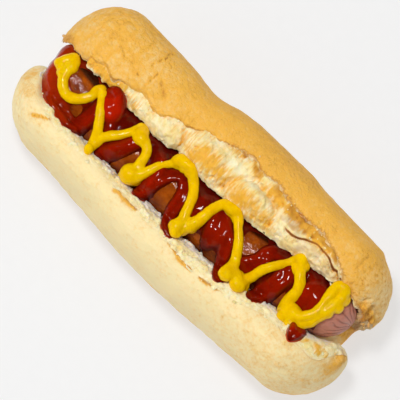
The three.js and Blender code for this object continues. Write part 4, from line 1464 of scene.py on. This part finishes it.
class HotDogBread(bpy.types.PropertyGroup):
    bun_pitch: length("Bun detail", "Spacing of the points on the bun", 0.7)
    crumb_pitch: length("Crumb detail", "Spacing of the points on the torn crumb", 0.38)
    pale_crust: colour("Pale crust", "Crust that the oven hardly coloured", "F6E2AC")
    golden_crust: colour("Golden crust", "Evenly baked crust", "F4B748")
    brown_crust: colour("Brown crust", "The darkest crust", "B26C28")
    # The seam colour is brown crust edge, darkened further as painted shade of the fold.
    seam_brown_and_shade: colour("Seam", "Fold seam in the torn crumb", "5E2C0C")
    flour_speck: colour("Specks", "Lighter specks in the crust", "F8D288")
    crumb: colour("Crumb", "Torn crumb", "F7DE98")
    crumb_light: colour("Light crumb", "The lightest torn crumb", "FFF3CC")
    crumb_white: colour("White crumb", "Fluffy crumb beside the sausage", "FAEFDF")
    golden_crumb: colour("Golden crumb", "Streaks in the torn crumb", "F0B024")


class HotDogSausage(bpy.types.PropertyGroup):
    skin: colour("Skin", "Heated skin", "A8500A")
    # The dark skin is also painted shade in the folds at the tips; the gap colour is painted shade on the
    # skin under the golden half.
    dark_skin_and_crease_shade: colour("Dark skin", "Creases and dark patches", "682404")
    gap_shade_on_skin: colour("Skin in the gap", "Wet skin in the gap under the golden half", "2A0C04")
    skin_tip: colour("Tips", "Skin at both ends", "C0806C")


class HotDogSauces(bpy.types.PropertyGroup):
    ketchup_pitch: length("Ketchup detail", "Spacing of the points on the ketchup", 0.47)
    mustard_pitch: length("Mustard detail", "Spacing of the points on the mustard", 0.36)
    ketchup: colour("Ketchup", "Thick ketchup", "8A1601")
    ketchup_film: colour("Ketchup film", "Thin ketchup over the sausage", "580A02")
    ketchup_drop: colour("Ketchup drop", "Ketchup where it is thickest", "B01C02")
    ketchup_edge: colour("Ketchup edge", "Ketchup where it thins out on bread", "C23A08")
    mustard: colour("Mustard", "Mustard", "F2C600")
    mustard_deep: colour("Deep mustard", "Deeper streaks", "E4B200")


class HotDogStage(bpy.types.PropertyGroup):
    floor: colour("Floor", "The paper under the hot dog", "8C8C8C")
    floor_light: colour("Light floor", "The lightest fibres of the paper", "909090")
    floor_glow: bpy.props.FloatProperty(
        name="Floor glow", description="How much the lit paper adds", default=0.62, min=0, subtype="FACTOR"
    )
    room_light: bpy.props.FloatProperty(
        name="Room light", description="Strength of the even light all round", default=0.2, min=0
    )
    key_power: power("Key", "Power of the small lamp that makes the highlights", 5.0)
    near_power: power("Near softbox", "Power of the broad lamp on the near side", 4.2)
    far_power: power("Far softbox", "Power of the broad lamp on the far side", 1.2)
    side_power: power("Side softboxes", "Power of the broad lamps at both ends", 1.2)


class HOTDOG_OT_bun(bpy.types.Operator):
    """Build the bun with its crust"""

    bl_idname = "hotdog.bun"
    bl_label = "Bun"

    def execute(self, context):
        build_bun(context.scene.hotdog_bread)
        return {"FINISHED"}


class HOTDOG_OT_torn_crumb(bpy.types.Operator):
    """Build the torn crumb along both lips of the bun"""

    bl_idname = "hotdog.torn_crumb"
    bl_label = "Torn crumb"

    def execute(self, context):
        build_torn_crumb(context.scene.hotdog_bread)
        return {"FINISHED"}


class HOTDOG_OT_sausage(bpy.types.Operator):
    """Build the frankfurter"""

    bl_idname = "hotdog.sausage"
    bl_label = "Sausage"

    def execute(self, context):
        build_sausage(context.scene.hotdog_sausage)
        return {"FINISHED"}


class HOTDOG_OT_ketchup(bpy.types.Operator):
    """Build the ketchup"""

    bl_idname = "hotdog.ketchup"
    bl_label = "Ketchup"

    def execute(self, context):
        build_ketchup(context.scene.hotdog_sauces)
        return {"FINISHED"}


class HOTDOG_OT_mustard(bpy.types.Operator):
    """Build the line of mustard over everything below it"""

    bl_idname = "hotdog.mustard"
    bl_label = "Mustard"

    def execute(self, context):
        build_mustard(context.scene.hotdog_sauces)
        return {"FINISHED"}


class HOTDOG_OT_crumbs(bpy.types.Operator):
    """Build the loose crumbs and the bits torn from the crust"""

    bl_idname = "hotdog.crumbs"
    bl_label = "Crumbs"

    def execute(self, context):
        build_crumbs(context.scene.hotdog_bread)
        return {"FINISHED"}


class HOTDOG_OT_stage(bpy.types.Operator):
    """Set up the floor, the lamps and the camera"""

    bl_idname = "hotdog.stage"
    bl_label = "Stage"

    def execute(self, context):
        build_stage(context.scene.hotdog_stage)
        return {"FINISHED"}


STEPS = ("bun", "torn_crumb", "sausage", "ketchup", "mustard", "crumbs", "stage")


class HOTDOG_PT_sidebar(bpy.types.Panel):
    """Lists the pieces of the hot dog"""

    bl_idname = "HOTDOG_PT_sidebar"
    bl_label = "Hot dog"
    bl_space_type = "VIEW_3D"
    bl_region_type = "UI"
    bl_category = "Hot dog"

    def draw(self, context):
        for step in STEPS:
            self.layout.operator(f"hotdog.{step}")


GROUPS = {
    "hotdog_bread": HotDogBread,
    "hotdog_sausage": HotDogSausage,
    "hotdog_sauces": HotDogSauces,
    "hotdog_stage": HotDogStage,
}
CLASSES = (
    *GROUPS.values(), HOTDOG_OT_bun, HOTDOG_OT_torn_crumb, HOTDOG_OT_sausage, HOTDOG_OT_ketchup,
    HOTDOG_OT_mustard, HOTDOG_OT_crumbs, HOTDOG_OT_stage, HOTDOG_PT_sidebar,
)


def register():
    for item in CLASSES:
        bpy.utils.register_class(item)
    for name, group in GROUPS.items():
        setattr(bpy.types.Scene, name, bpy.props.PointerProperty(type=group))


def unregister():
    for name in GROUPS:
        delattr(bpy.types.Scene, name)
    for item in reversed(CLASSES):
        bpy.utils.unregister_class(item)


def main():
    register()
    for step in STEPS:
        getattr(bpy.ops.hotdog, step)()


if __name__ == "__main__":
    main()
